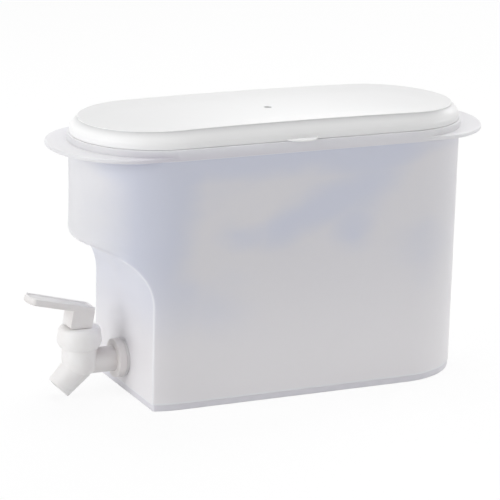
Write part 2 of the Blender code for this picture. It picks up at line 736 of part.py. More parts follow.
def make_tap_body(tap):
    white = plastic("white_tap", (0.86, 0.855, 0.84), 0.42)
    body = solid("tap_body", turned(barrel_profile(), ROUND_STEPS), tap, finish=white)
    shank = helper("shank_form", turned(shank_profile(), ROUND_STEPS, along_shank()), tap)
    outlet = Vector((-SPOUT_OUTLET_FORWARD, 0, SPOUT_OUTLET_HEIGHT))
    root = outlet - spout_direction() * SPOUT_LENGTH
    spout_mesh = rod(SPOUT_ROOT_RADIUS, root, outlet, ROUND_STEPS, SPOUT_OUTLET_RADIUS)
    spout = helper("spout_form", spout_mesh, tap)
    bevel(spout, SPOUT_EDGE)
    chamber = helper("valve_chamber", turned(chamber_profile(), ROUND_STEPS), tap)
    bore = helper("spout_bore", spout_bore(), tap)
    bore_start = (CHAMBER_RADIUS - OVERRUN, 0, SHANK_HEIGHT)
    bore_end = (shank_profile()[-1][1] + OVERRUN, 0, SHANK_HEIGHT)
    shank_bore = helper("shank_bore", rod(SHANK_BORE_RADIUS, bore_start, bore_end, SMALL_ROUND_STEPS), tap)
    combine(body, shank, "UNION")
    combine(body, spout, "UNION")
    combine(body, chamber, "DIFFERENCE")
    combine(body, bore, "DIFFERENCE")
    combine(body, shank_bore, "DIFFERENCE")
    return body


def washer_profile(inner, outer, start, thickness):
    """A flat ring's section. With no hole it runs from the axis round the rim to the axis."""
    end = start + thickness
    rim = [
        (outer - WASHER_EDGE, end),
        (outer, end - WASHER_EDGE),
        (outer, start + WASHER_EDGE),
        (outer - WASHER_EDGE, start),
    ]
    if inner == 0:
        return [(0, end), *rim, (0, start)]
    return [(inner, start), (inner, end), *rim]


def make_washers_and_nut(tap):
    outer_finish = plastic("outer_silicone", (0.78, 0.79, 0.80), 0.55)
    inner_finish = plastic("inner_silicone", (0.78, 0.79, 0.80), 0.55)
    white = plastic("white_nut", (0.85, 0.85, 0.84), 0.45)
    bore = THREAD_RADIUS + RUNNING_GAP
    outer_start = TAP_REACH - SEAT_GAP - OUTER_WASHER_THICKNESS
    outer = washer_profile(bore, OUTER_WASHER_RADIUS, outer_start, OUTER_WASHER_THICKNESS)
    solid("outer_washer", turned(outer, ROUND_STEPS, along_shank()), tap, finish=outer_finish)
    inner_start = TAP_REACH + TANK_WALL + SEAT_GAP
    inner = washer_profile(bore, INNER_WASHER_RADIUS, inner_start, INNER_WASHER_THICKNESS)
    solid("inner_washer", turned(inner, ROUND_STEPS, along_shank()), tap, finish=inner_finish)
    nut_start = inner_start + INNER_WASHER_THICKNESS + SEAT_GAP
    flange = washer_profile(0, NUT_FLANGE_RADIUS, nut_start, NUT_FLANGE_THICKNESS)
    nut = solid("lock_nut", turned(flange, ROUND_STEPS, along_shank()), tap, finish=white)
    hexagon = []
    for corner in range(6):
        angle = math.tau * corner / 6
        hexagon.append((NUT_HEX_RADIUS * math.cos(angle), NUT_HEX_RADIUS * math.sin(angle)))
    ends = (nut_start + NUT_FLANGE_THICKNESS / 2, nut_start + NUT_LENGTH)
    rings = [[along_shank() @ Vector((x, y, end)) for x, y in hexagon] for end in ends]
    flats = helper("nut_flats", loft(rings), tap)
    bevel(flats, NUT_EDGE)
    hole_start = (nut_start - OVERRUN, 0, SHANK_HEIGHT)
    hole_end = (nut_start + NUT_LENGTH + OVERRUN, 0, SHANK_HEIGHT)
    hole = helper("nut_hole", rod(bore, hole_start, hole_end, ROUND_STEPS), tap)
    combine(nut, flats, "UNION")
    combine(nut, hole, "DIFFERENCE")


def make_bonnet(tap):
    white = plastic("white_bonnet", (0.86, 0.855, 0.84), 0.42)
    inner = BARREL_RADIUS + SEAT_GAP
    guide = STEM_RADIUS + RUNNING_GAP
    profile = [(inner, BONNET_SKIRT_BOTTOM)]
    steps = 2 * FILLET_STEPS
    for step in range(steps + 1):
        share = step / steps
        widening = BONNET_BULGE * math.sin(math.pi / 2 * share)
        height = BONNET_SKIRT_BOTTOM + BONNET_BULGE_RISE * share
        profile.append((BONNET_SKIRT_RADIUS + widening, height))
    for step in range(steps + 1):
        angle = math.pi / 2 * step / steps
        radius = BONNET_TOP_RADIUS + BONNET_CROWN_SETBACK * math.cos(angle)
        height = BONNET_SHOULDER_HEIGHT + BONNET_SHOULDER_DROP * math.sin(angle)
        profile.append((radius, height))
    profile += [(guide, BONNET_TOP), (guide, BONNET_CEILING), (inner, BONNET_CEILING)]
    return solid("tap_bonnet", turned(profile, ROUND_STEPS), tap, finish=white)


def make_seat_cup(tap):
    """The silicone cup: clamped rim, thin bell, solid nose with a pocket for the stem's button."""
    silicone = plastic("soft_silicone", (0.74, 0.76, 0.78), 0.6)
    pocket_floor = NOSE_BOTTOM + CUP_POCKET_FLOOR
    neck = STEM_RADIUS + RUNNING_GAP
    waist_inner = CUP_WAIST_RADIUS - CUP_WALL
    profile = [
        (0, NOSE_BOTTOM - CUP_TIP_LENGTH),
        (CUP_TIP_RADIUS - CUP_TIP_TAPER, NOSE_BOTTOM - CUP_TIP_LENGTH),
        (CUP_TIP_RADIUS, NOSE_BOTTOM),
        (CUP_NOSE_RADIUS, NOSE_BOTTOM),
        (CUP_NOSE_RADIUS, CUP_NOSE_TOP),
        (CUP_WAIST_RADIUS, CUP_NOSE_TOP + CUP_WALL),
        (CUP_WAIST_RADIUS, CUP_WAIST_HEIGHT),
        (CUP_BELL_TOP_RADIUS, CUP_RIM_BOTTOM - CUP_WALL),
        (CUP_BELL_TOP_RADIUS, CUP_RIM_BOTTOM),
        (CUP_RIM_RADIUS, CUP_RIM_BOTTOM),
        (CUP_RIM_RADIUS, CUP_RIM_TOP),
        (CUP_BELL_TOP_RADIUS - CUP_WALL, CUP_RIM_TOP),
        (CUP_BELL_TOP_RADIUS - CUP_WALL, CUP_RIM_BOTTOM - CUP_WALL),
        (waist_inner, CUP_WAIST_HEIGHT),
        (waist_inner, CUP_NOSE_TOP + CUP_WALL),
        (neck, CUP_NOSE_TOP),
        (neck, CUP_POCKET_TOP + CUP_WALL),
        (BUTTON_RADIUS + RUNNING_GAP, CUP_POCKET_TOP),
        (BUTTON_RADIUS + RUNNING_GAP, pocket_floor),
        (0, pocket_floor),
    ]
    return solid("seat_cup", turned(profile, SMALL_ROUND_STEPS), tap, finish=silicone)


def make_stem(tap):
    """The rod with its button below and its flat eye above, which the lever's pin goes through.

    Its origin is on the pin's axis, and the lever and the pin hang on it.
    """
    white = plastic("white_stem", (0.84, 0.84, 0.83), 0.4)
    bottom = BUTTON_BOTTOM - PIVOT_HEIGHT
    profile = [
        (0, bottom),
        (BUTTON_RADIUS, bottom),
        (BUTTON_RADIUS, bottom + BUTTON_THICKNESS),
        (STEM_RADIUS, bottom + BUTTON_THICKNESS),
        (STEM_RADIUS, -EYE_RADIUS / 2),
        (0, -EYE_RADIUS / 2),
    ]
    stem = solid("valve_stem", turned(profile, SMALL_ROUND_STEPS), tap, (0, 0, PIVOT_HEIGHT), white)
    half = EYE_THICKNESS / 2
    eye = helper("stem_eye", rod(EYE_RADIUS, (0, -half, 0), (0, half, 0), EYE_STEPS), stem)
    reach = half + OVERRUN
    hole_mesh = rod(PIN_RADIUS + RUNNING_GAP, (0, -reach, 0), (0, reach, 0), SMALL_ROUND_STEPS)
    hole = helper("stem_eye_hole", hole_mesh, stem)
    combine(stem, eye, "UNION")
    combine(stem, hole, "DIFFERENCE")
    return stem


def cam_points():
    """The heel that rolls on the bonnet when the paddle is pressed.

    Its distance from the pin grows evenly with the angle, so the stem rises by the same
    length for each degree, and the heel keeps its clearance through the whole travel.
    """
    points = []
    for step in range(CAM_STEPS + 1):
        angle = LEVER_TRAVEL * step / CAM_STEPS
        reach = CAM_BASE + CAM_LIFT_PER_RADIAN * angle
        x = -reach * math.sin(angle) - CAM_LIFT_PER_RADIAN * math.cos(angle)
        z = -reach * math.cos(angle) + CAM_LIFT_PER_RADIAN * math.sin(angle)
        points.append((x, z))
    return points


def paddle_place():
    """Puts the paddle's own frame on the lever: origin at the rear top edge, X towards the tip."""
    turn = Matrix.Rotation(PADDLE_RISE, 4, "Y") @ Matrix.Rotation(math.pi, 4, "Z")
    return Matrix.Translation((PADDLE_REAR, 0, PADDLE_REAR_HEIGHT)) @ turn


def paddle_plan(inset):
    """The paddle from above, square behind, wider and bowed at the tip, moved in by an inset."""
    half = PADDLE_TIP_HALF_WIDTH - inset
    rear_half = PADDLE_REAR_HALF_WIDTH - inset
    radius = (PADDLE_TIP_HALF_WIDTH**2 + PADDLE_TIP_BULGE**2) / (2 * PADDLE_TIP_BULGE)
    centre = PADDLE_LENGTH - radius
    half_angle = math.asin(half / (radius - inset))
    outline = [(inset, -rear_half)]
    for step in range(2 * TIP_STEPS + 1):
        angle = half_angle * (step / TIP_STEPS - 1)
        outline.append((centre + (radius - inset) * math.cos(angle), (radius - inset) * math.sin(angle)))
    outline.append((inset, rear_half))
    return outline


def paddle_plate(inset, low, high):
    place = paddle_place()
    return loft([[place @ Vector((x, y, z)) for x, y in paddle_plan(inset)] for z in (low, high)])


def make_lever(stem):
    white = plastic("white_lever", (0.86, 0.855, 0.84), 0.42)
    hub_top = PADDLE_REAR_HEIGHT - PADDLE_THICKNESS / 2
    front_top = hub_top + (PADDLE_REAR + HUB_FRONT_TOP) * math.tan(PADDLE_RISE)
    outline = [
        (HUB_REAR_BOTTOM, -CAM_BASE),
        *cam_points(),
        (-HUB_FRONT_TOP, front_top),
        (HUB_REAR_TOP, hub_top),
    ]
    lever = solid("tap_lever", prism(outline, HUB_HALF_WIDTH), stem, finish=white)
    bevel(lever, HUB_EDGE)
    paddle = helper("paddle_form", paddle_plate(0, -PADDLE_THICKNESS, 0), stem)
    bevel(paddle, PADDLE_EDGE)
    recess = helper("paddle_recess", paddle_plate(PADDLE_RIM, -PADDLE_RECESS, OVERRUN), stem)
    swing = CAM_BASE * math.tan(LEVER_TRAVEL) + STEM_RADIUS / math.cos(LEVER_TRAVEL) + RUNNING_GAP
    slot_outline = [
        (EYE_RADIUS + RUNNING_GAP, -CAM_BASE - OVERRUN),
        (-swing, -CAM_BASE - OVERRUN),
        (-swing, 0),
        (-EYE_RADIUS - RUNNING_GAP, EYE_RADIUS + RUNNING_GAP),
        (EYE_RADIUS + RUNNING_GAP, EYE_RADIUS + RUNNING_GAP),
    ]
    slot = helper("lever_slot", prism(slot_outline, EYE_THICKNESS / 2 + RUNNING_GAP), stem)
    blind = HUB_HALF_WIDTH - PIN_COVER
    reach = HUB_HALF_WIDTH + OVERRUN
    bore_mesh = rod(PIN_RADIUS + SEAT_GAP, (0, -blind, 0), (0, reach, 0), SMALL_ROUND_STEPS)
    bore = helper("pin_bore", bore_mesh, stem)
    combine(lever, paddle, "UNION")
    combine(lever, recess, "DIFFERENCE")
    combine(lever, slot, "DIFFERENCE")
    combine(lever, bore, "DIFFERENCE")
    pin_end = HUB_HALF_WIDTH - PIN_INSET
    pin_mesh = rod(PIN_RADIUS, (0, SEAT_GAP - blind, 0), (0, pin_end, 0), SMALL_ROUND_STEPS)
    solid("lever_pin", pin_mesh, lever, finish=plastic("white_pin", (0.85, 0.85, 0.84), 0.35))
    return lever


def main():
    clear_scene()
    assembly = empty("container", None, ORIGIN)
    make_tank(assembly)
    make_lid(assembly)
    tap = empty("tap_axis", assembly, (TAP_X, 0, 0))
    make_tap_body(tap)
    make_washers_and_nut(tap)
    make_bonnet(tap)
    make_seat_cup(tap)
    stem = make_stem(tap)
    make_lever(stem)


main()
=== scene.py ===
"""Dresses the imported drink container: a finer tub, lid and tap, moulded finishes, and a studio.

Lengths are in metres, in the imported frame: the tap is at the -X end and +Z is up.
"""

import math

import bpy
from mathutils import Matrix, Vector


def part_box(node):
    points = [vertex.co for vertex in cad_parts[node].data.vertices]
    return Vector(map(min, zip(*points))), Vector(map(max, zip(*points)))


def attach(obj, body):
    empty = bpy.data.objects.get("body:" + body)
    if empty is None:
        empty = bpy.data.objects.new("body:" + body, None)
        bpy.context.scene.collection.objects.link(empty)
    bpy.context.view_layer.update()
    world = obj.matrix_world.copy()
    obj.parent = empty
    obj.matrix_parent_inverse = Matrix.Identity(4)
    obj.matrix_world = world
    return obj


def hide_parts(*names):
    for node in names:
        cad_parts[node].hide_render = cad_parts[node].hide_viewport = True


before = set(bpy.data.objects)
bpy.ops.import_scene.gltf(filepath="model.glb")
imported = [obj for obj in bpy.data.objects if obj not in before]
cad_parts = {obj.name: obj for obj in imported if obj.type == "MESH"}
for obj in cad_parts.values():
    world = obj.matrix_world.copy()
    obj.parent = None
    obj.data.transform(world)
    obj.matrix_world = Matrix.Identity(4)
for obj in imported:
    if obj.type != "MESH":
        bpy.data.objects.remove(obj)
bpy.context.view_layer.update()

# Places of the tub and of the tap's axis
TANK_LOW, TANK_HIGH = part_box("tank")
MIDDLE = Vector(((TANK_LOW.x + TANK_HIGH.x) / 2, (TANK_LOW.y + TANK_HIGH.y) / 2, 0))
TAP_REACH = 0.031
FRONT_FACE = 0.1009
TAP_AXIS = MIDDLE - Vector((FRONT_FACE + TAP_REACH, 0, 0))

# Tub
SPINE_HALF = 0.0826
TOP_HALF_WIDTH = 0.0542
BASE_HALF_WIDTH = 0.0534
WALL = 0.0018
RIM_HEIGHT = 0.1728
FLOOR_HEIGHT = 0.0049
FLOOR_UNDERSIDE = 0.0025
FLOOR_FILLET = 0.003
FOOT_STEP = 0.0005
FOOT_RING_WIDTH = 0.0036
FOOT_ROUND = 0.0006
STEP_ROUND = 0.0007
STEP_ROUND_START = -60  # degrees below the outward direction
COLLAR_OUT = 0.0007
COLLAR_DEPTH = 0.0072
COLLAR_BOTTOM = RIM_HEIGHT - COLLAR_DEPTH
COLLAR_ROUND = 0.0003
GRIP_REACH = 0.1525
GRIP_STRAIGHT_HALF = 0.105
GRIP_HALF_WIDTH = 0.0547
GRIP_TOP = 0.1683
GRIP_THICKNESS = 0.0026
GRIP_ROUND = 0.0008
GRIP_FACE_INSET = 0.0032
CORNER_RADIUS = 0.0012
INNER_CORNER_RADIUS = 0.0015
COVE_START = 0.0685
COVE_RADIUS = 0.0363
LIP_RADIUS = 0.0055
LIP_BLEND = 0.006
SHANK_HEIGHT = 0.0225
THREAD_RADIUS = 0.0078
GAP = 0.0003

# Marks for the tub's finish: painted highlights on the edges, painted light on the end over the
# tap, and painted light that pales the collar towards both ends, a little later on the plate than
# above
RIM_LINE = 0.0008
MARK_MARGIN = 1.5  # roundings between a marked edge and the ring where its mark has faded
# Where the painted light on the collar's ends starts, front and rear, and how fast it fades in
PALE_COLLAR_FRONT = 0.095
PALE_COLLAR_REAR = 0.062
PALE_FADE = 0.032
GRIP_LAG = 0.012
PALE_END = 0.112
PALE_END_SHARE = 0.5
MARK_SLACK = 0.00003
FAR = 1  # stands for the distance to the front where there is none

# Lid
LID_SEAM = 0.00012
LID_BOTTOM = RIM_HEIGHT + LID_SEAM
LID_BASE_HALF_WIDTH = 0.0535
LID_TOP_HALF_WIDTH = 0.0487
LID_HALF_LENGTH = SPINE_HALF + LID_TOP_HALF_WIDTH
LID_HEIGHT = 0.01014
LID_SKIRT_HEIGHT = 0.0032
LID_SHOULDER_POWER = 1.55
LID_CROWN = 0.00194
LID_WALL = 0.0018
LID_LIP_HEIGHT = 0.0009
LID_LIP_ROUND = 0.0003
LID_STEP = 0.0009
LID_STEP_WIDTH = 0.0002
LID_BORDER = 0.0008
LID_RAMP = 0.02
LID_DISH = 0.0014
LID_PANEL_OFFSETS = (0, 0.01, 0.02)
PLUG_HALF_WIDTH = 0.0521
PLUG_WALL = 0.0014
PLUG_DEPTH = 0.008
PLUG_TAPER = 0.0005
TAB_LENGTH = 0.0067
TAB_WIDTH = 0.022
TAB_THICKNESS = 0.0011
TAB_ROUND = 0.0004
GATE_RADIUS = 0.00275
GATE_DEPTH = 0.0009

# Marks for the lid's finish: painted shade under the crest and in the gate mark, and painted
# light on the panel and on the shoulder, stronger at the tap end and weaker at the rear
CREST_MARGIN = 1.5 * LID_STEP_WIDTH
# Depth under the crest over which the painted shade fades out, and the power of its fade
PAINTED_SHADE_DEPTH = 0.0045
PAINTED_SHADE_POWER = 1.5
GATE_REACH = 1.1 * GATE_RADIUS
# Painted light on the panel: a broad highlight, strongest in the middle and towards the near edge
PANEL_GLOW = 0.6
PANEL_GLOW_SLOPE = 0.4
PANEL_GLOW_PLACE = 0.01
PANEL_GLOW_LENGTH = 0.09
# Painted light on the shoulder, more at the tap end and less at the rear
SHOULDER_GLOW = 0.56
TAP_END_GLOW = 0.4
TAP_END_START = 0.06
TAP_END_FADE = 0.05
REAR_END_DROP = 0.35
REAR_END_START = 0.115
REAR_END_FADE = 0.03

# Tap body and washer
BARREL_RADIUS = 0.0116
BARREL_TOP = 0.0426
BARREL_ROUND_START = 0.021
BARREL_BOTTOM = 0.0129
CHAMBER_RADIUS = 0.0092
SEAT_HEIGHT = 0.019
SEAT_THICKNESS = 0.0015
SEAT_HOLE_RADIUS = 0.0045
SHANK_RADIUS = 0.0084
SHANK_BORE_RADIUS = 0.0034
SHANK_END = 0.0464
FLANGE_RADIUS = 0.0129
FLANGE_THICKNESS = 0.0053
FLANGE_ROUND = 0.0007
SPOUT_TILT = math.radians(46)
SPOUT_FORWARD = 0.0146
SPOUT_HEIGHT = 0.00645
SPOUT_OUTLET_RADIUS = 0.0086
SPOUT_ROOT_RADIUS = 0.0098
SPOUT_LENGTH = 0.020
SPOUT_BORE_START = 0.004
SPOUT_WALL = 0.0021
SPOUT_ROUND = 0.0006
JOIN_ROUND = 0.0007
WASHER_RADIUS = 0.0124
WASHER_THICKNESS = 0.0015
WASHER_ROUND = 0.0003
WASHER_SEAT = 0.00005
FLANGE_END = TAP_REACH - WASHER_THICKNESS - 2 * GAP

# Shade on the tap body, by the distance behind the barrel's axis in barrel radii: it rises
# where the shank leaves the barrel and falls again to the flange's share
SHADE_RISE = 3
SHADE_START = 1.7
SHADE_TOP = 1.3
SHADE_FALL = 0.42
FLANGE_SHADE = 0.42

# Bonnet
BONNET_BOTTOM = 0.0328
BONNET_SKIRT_RADIUS = 0.0125
BONNET_BULGE_RADIUS = 0.0148
BONNET_BULGE_HEIGHT = 0.0383
BONNET_SHOULDER_RADIUS = 0.0142
BONNET_SHOULDER_HEIGHT = 0.0425
BONNET_TOP_RADIUS = 0.0115
BONNET_TOP = 0.047
BONNET_CEILING = 0.0444
STEM_RADIUS = 0.0024

# Lever
EYE_RADIUS = 0.0036
EYE_THICKNESS = 0.005
PIN_RADIUS = 0.0013
PIN_COVER = 0.0015
CAM_BASE = 0.0062
CAM_LIFT = 0.0055
LEVER_TRAVEL = math.radians(28)
HUB_HALF_WIDTH = 0.0076
HUB_REAR_TOP = 0.0079
HUB_REAR_BOTTOM = 0.006
HUB_FRONT_TOP = 0.0066
HUB_ROUND = 0.0006
HUB_SHADE = 0.32
PADDLE_RISE = math.radians(13.8)
PADDLE_REAR = 0.0084
PADDLE_REAR_HEIGHT = 0.0069
PADDLE_LENGTH = 0.0464
PADDLE_REAR_HALF = 0.0074
PADDLE_TIP_HALF = 0.009
PADDLE_BULGE = 0.0034
PADDLE_TIP_RADIUS = (PADDLE_TIP_HALF**2 + PADDLE_BULGE**2) / (2 * PADDLE_BULGE)
PADDLE_THICKNESS = 0.0045
PADDLE_RIM = 0.0014
PADDLE_RECESS = 0.0008
PADDLE_ROUND = 0.0009
PADDLE_CORNER = 0.0025
PADDLE_LEAST_ROUND = PADDLE_ROUND / 4
PADDLE_SIDE_SHADE = 0.4
PADDLE_RECESS_SHADE = 0.15

# Directions on an arc, in degrees from the outward one
DOWN, OUT, UP = -90, 0, 90

# How finely shapes are cut
SMALL_ARC_STEPS = 3
ARC_STEPS = 4
LARGE_ARC_STEPS = 5
FRONT_STEPS = 4
CORNER_STEPS = 8
END_STEPS = 30
BACK_STEPS = 36
COVE_STEPS = 30
LIP_STEPS = 10
HALVINGS = 30
LEAST_CORNER = math.radians(4)
RAMP_STEPS = 16
SHOULDER_STEPS = 20
INNER_SHOULDER_STEPS = 10
LID_STRAIGHT_STEPS = 24
TAB_STEPS = 32
GATE_STEPS = 48
ROUND_STEPS = 64
BARREL_ROUND_STEPS = 14
BONNET_STEPS = 96
BONNET_BULGE_STEPS = 12
BONNET_ROUND_STEPS = 10
PIN_STEPS = 32
CAM_STEPS = 16
TIP_STEPS = 12
TIP_CHORD = 1 / 8
PADDLE_CORNER_STEPS = 6
BEVEL_SEGMENTS = 3
CREASE_ANGLE = math.radians(32)
WELD_DISTANCE = 0.000002


def only(obj):
    """Makes one object the selected and active one."""
    for other in bpy.context.selected_objects:
        other.select_set(False)
    obj.select_set(True)
    bpy.context.view_layer.objects.active = obj


def select_all_points(obj):
    """Starts editing the object's mesh, with all of it selected."""
    only(obj)
    bpy.ops.object.mode_set(mode="EDIT")
    bpy.ops.mesh.select_mode(type="VERT")
    bpy.ops.mesh.select_all(action="SELECT")


def added(name):
    """Names the primitive that was just added."""
    obj = bpy.context.active_object
    obj.name = name
    obj.data.name = name
    return obj


def smooth(obj):
    only(obj)
    bpy.ops.object.shade_smooth_by_angle(angle=CREASE_ANGLE)


def wrapped(name, rings):
    """A solid laid on rings of points, closed along its seam, and closed at open ends."""
    columns = len(rings[0])
    bpy.ops.mesh.primitive_grid_add(x_subdivisions=columns, y_subdivisions=len(rings) - 1)
    obj = added(name)
    points = []
    for ring in rings:
        for point in [*ring, ring[0]]:
            points.extend(point)
    obj.data.vertices.foreach_set("co", points)
    obj.data.update()
    select_all_points(obj)
    bpy.ops.mesh.remove_doubles(threshold=WELD_DISTANCE)
    bpy.ops.mesh.fill_holes(sides=0)
    bpy.ops.mesh.normals_make_consistent(inside=False)
    bpy.ops.object.mode_set(mode="OBJECT")
    smooth(obj)
    return obj


def turned(name, profile, place, steps=ROUND_STEPS):
    """A (radius, height) profile spun round Z and then put in place.

    A profile that starts and ends on the axis is a full solid, and any other closes on itself.
    """
    points = list(profile)
    if points[0][0] > 0:
        points.append(points[0])
    rings = []
    for radius, height in points:
        ring = []
        for step in range(steps):
            angle = math.tau * step / steps
            point = Vector((radius * math.cos(angle), radius * math.sin(angle), height))
            ring.append(place @ point)
        rings.append(ring)
    return wrapped(name, rings)


def extruded(name, outline, half, place):
    """An (x, z) outline drawn out along Y, half a width to each side, and then put in place."""
    rings = [[place @ Vector((x, y, z)) for x, z in outline] for y in (-half, half)]
    return wrapped(name, rings)


def apply_modifier(obj, modifier):
    only(obj)
    bpy.ops.object.modifier_apply(modifier=modifier.name)


def combine(obj, other, operation):
    """Joins or cuts with another shape, which is then removed."""
    modifier = obj.modifiers.new(operation.title(), "BOOLEAN")
    modifier.operation = operation
    modifier.solver = "EXACT"
    modifier.object = other
    apply_modifier(obj, modifier)
    bpy.data.objects.remove(other)


def cut_bore(obj, radius, start, end, place, steps=ROUND_STEPS):
    """Cuts a round hole along a place's Z, from one height to another."""
    profile = [(0, start), (radius, start), (radius, end), (0, end)]
    combine(obj, turned("bore", profile, place, steps), "DIFFERENCE")


def round_edges(obj, width):
    modifier = obj.modifiers.new("Rounded edges", "BEVEL")
    modifier.width = width
    modifier.segments = BEVEL_SEGMENTS
    modifier.limit_method = "ANGLE"
    modifier.angle_limit = CREASE_ANGLE
    modifier.harden_normals = False
    apply_modifier(obj, modifier)


def new_marks(obj, *names):
    """Lists of values, one for each point of the mesh, that a finish reads by their names."""
    for name in names:
        obj.data.attributes.new(name, "FLOAT", "POINT")
    return [obj.data.attributes[name].data for name in names]


def clamped(value):
    return min(max(value, 0), 1)


def eased(share):
    return share * share * (3 - 2 * share)


def ellipse_part(radii, middle, start, end, steps):
    """Points (across, up) on an ellipse, between two directions in degrees."""
    points = []
    for step in range(steps + 1):
        angle = math.radians(start + (end - start) * step / steps)
        across = middle[0] + radii[0] * math.cos(angle)
        points.append((across, middle[1] + radii[1] * math.sin(angle)))
    return points


def arc(middle, radius, start, end, steps=ARC_STEPS):
    return ellipse_part((radius, radius), middle, start, end, steps)


def rounded_band(outer, low, high, radius, steps=ARC_STEPS):
    """Points (across, up) up an outer side whose lower and upper corners are rounded."""
    edge = outer - radius
    lower = arc((edge, low + radius), radius, DOWN, OUT, steps)
    return lower + arc((edge, high - radius), radius, OUT, UP, steps)


def half_width(height):
    """Half the tub's width at one height."""
    return BASE_HALF_WIDTH + (TOP_HALF_WIDTH - BASE_HALF_WIDTH) * height / RIM_HEIGHT


def spine_distance(x, y):
    """Distance from the line between the centres of the two round ends."""
    return math.hypot(max(abs(x) - SPINE_HALF, 0), y)


def rear_quarter(radius):
    """Half of the rear end's outline, from its widest place to just before its tip."""
    points = []
    for step in range(BACK_STEPS):
        angle = math.pi / 2 * (1 - step / BACK_STEPS)
        points.append((SPINE_HALF + radius * math.cos(angle), radius * math.sin(angle)))
    return points


def mirrored(north, west_tip, east_tip, height):
    """A whole ring from its half on the +Y side and its two tips."""
    south = [(x, -y) for x, y in reversed(north)]
    return [MIDDLE + Vector((x, y, height)) for x, y in [west_tip, *north, east_tip, *south]]


COVE_CENTRE_X = FRONT_FACE + COVE_RADIUS
LIP_CENTRE_X = SPINE_HALF + half_width(COVE_START + COVE_RADIUS) - LIP_RADIUS
LIP_CENTRE_HEIGHT = COVE_START + math.sqrt(
    (COVE_RADIUS + LIP_RADIUS) ** 2 - (COVE_CENTRE_X - LIP_CENTRE_X) ** 2
)
COVE_SWEEP = math.asin((LIP_CENTRE_HEIGHT - COVE_START) / (COVE_RADIUS + LIP_RADIUS))


def front_heights(inset):
    """Heights of the rings up the cove and round the lip."""
    cove = COVE_RADIUS + inset
    lip = LIP_RADIUS - inset
    heights = []
    for step in range(COVE_STEPS + 1):
        heights.append(COVE_START + cove * math.sin(COVE_SWEEP * step / COVE_STEPS))
    for step in range(1, LIP_STEPS + 1):
        heights.append(LIP_CENTRE_HEIGHT - lip * math.sin(COVE_SWEEP * (1 - step / LIP_STEPS)))
    return heights


def corner_rounding(height, inset):
    """Rounding between front and wall: small beside the tap, and growing towards the lip."""
    lip_bottom = front_heights(inset)[COVE_STEPS]
    share = eased(clamped((height - lip_bottom) / LIP_BLEND + 1))
    radius = CORNER_RADIUS + (LIP_RADIUS - CORNER_RADIUS) * share
    return max(radius - inset, INNER_CORNER_RADIUS if inset else CORNER_RADIUS)


def front_distance(x, height, inset):
    """How far a place at x from the middle lies behind the flat front or the cove."""
    above = max(height - COVE_START, 0)
    return math.hypot(COVE_CENTRE_X - x, above) - COVE_RADIUS - inset


def front_place(height, reach):
    """Distance from the middle, at one height, of what lies so far from the cove's axis."""
    above = max(height - COVE_START, 0)
    return COVE_CENTRE_X - math.sqrt(max(reach**2 - above**2, 0))


def end_radius(angle, height, width, corner, inset):
    """Distance from the end's centre to the outline, with a rounding between front and end."""
    near, far = 0, width
    for _ in range(HALVINGS):
        radius = (near + far) / 2
        behind = front_distance(SPINE_HALF + radius * math.cos(angle), height, inset)
        past_wall = max(corner - width + radius, 0)
        past_front = max(corner - behind, 0)
        if math.hypot(past_wall, past_front) > corner:
            far = radius
        else:
            near = radius
    return near


def tub_ring(height, inset):
    """The tub's outline at one height, moved into the material by an inset."""
    width = half_width(height) - inset
    has_front = height < LIP_CENTRE_HEIGHT
    corner = corner_rounding(height, inset)
    cove = COVE_RADIUS + inset
    flat_end = (front_place(height, cove) - SPINE_HALF) / (width - corner)
    wall_start = (front_place(height, cove + corner) - SPINE_HALF) / width
    first = max(math.acos(min(flat_end, 1)), LEAST_CORNER)
    last = max(math.acos(min(wall_start, 1)), first + LEAST_CORNER)
    angles = [first * i / FRONT_STEPS for i in range(FRONT_STEPS)]
    angles += [first + (last - first) * i / CORNER_STEPS for i in range(CORNER_STEPS)]
    angles += [last + (math.pi / 2 - last) * i / END_STEPS for i in range(END_STEPS + 1)]
    north = []
    for angle in angles:
        radius = end_radius(angle, height, width, corner, inset) if has_front else width
        north.append((-SPINE_HALF - radius * math.cos(angle), radius * math.sin(angle)))
    north += rear_quarter(width)
    return mirrored(north[1:], north[0], (SPINE_HALF + width, 0), height)


def tub_rings(levels, inset):
    """Rings for (height, extra inset) levels, with the cove between those below and above."""
    below = [level for level in levels if level[0] < COVE_START]
    above = [level for level in levels if level[0] > LIP_CENTRE_HEIGHT]
    cove = [(height, 0) for height in front_heights(inset)]
    return [tub_ring(height, inset + extra) for height, extra in [*below, *cove, *above]]


def grip_plate():
    """The flat plate that shows as a grip at each end."""
    length = GRIP_REACH - GRIP_STRAIGHT_HALF
    steps = 2 * BACK_STEPS
    section = [
        (-GRIP_FACE_INSET, 0),
        *rounded_band(0, 0, GRIP_THICKNESS, GRIP_ROUND),
        (-GRIP_FACE_INSET, GRIP_THICKNESS),
    ]
    rings = []
    for inset, rise in section:
        ring = []
        for end in (1, -1):
            for step in range(steps + 1):
                angle = math.pi / 2 - math.pi * step / steps
                x = end * (GRIP_STRAIGHT_HALF + (length + inset) * math.cos(angle))
                y = end * (GRIP_HALF_WIDTH + inset) * math.sin(angle)
                ring.append(MIDDLE + Vector((x, y, GRIP_TOP - GRIP_THICKNESS + rise)))
        rings.append(ring)
    return wrapped("grips", rings)


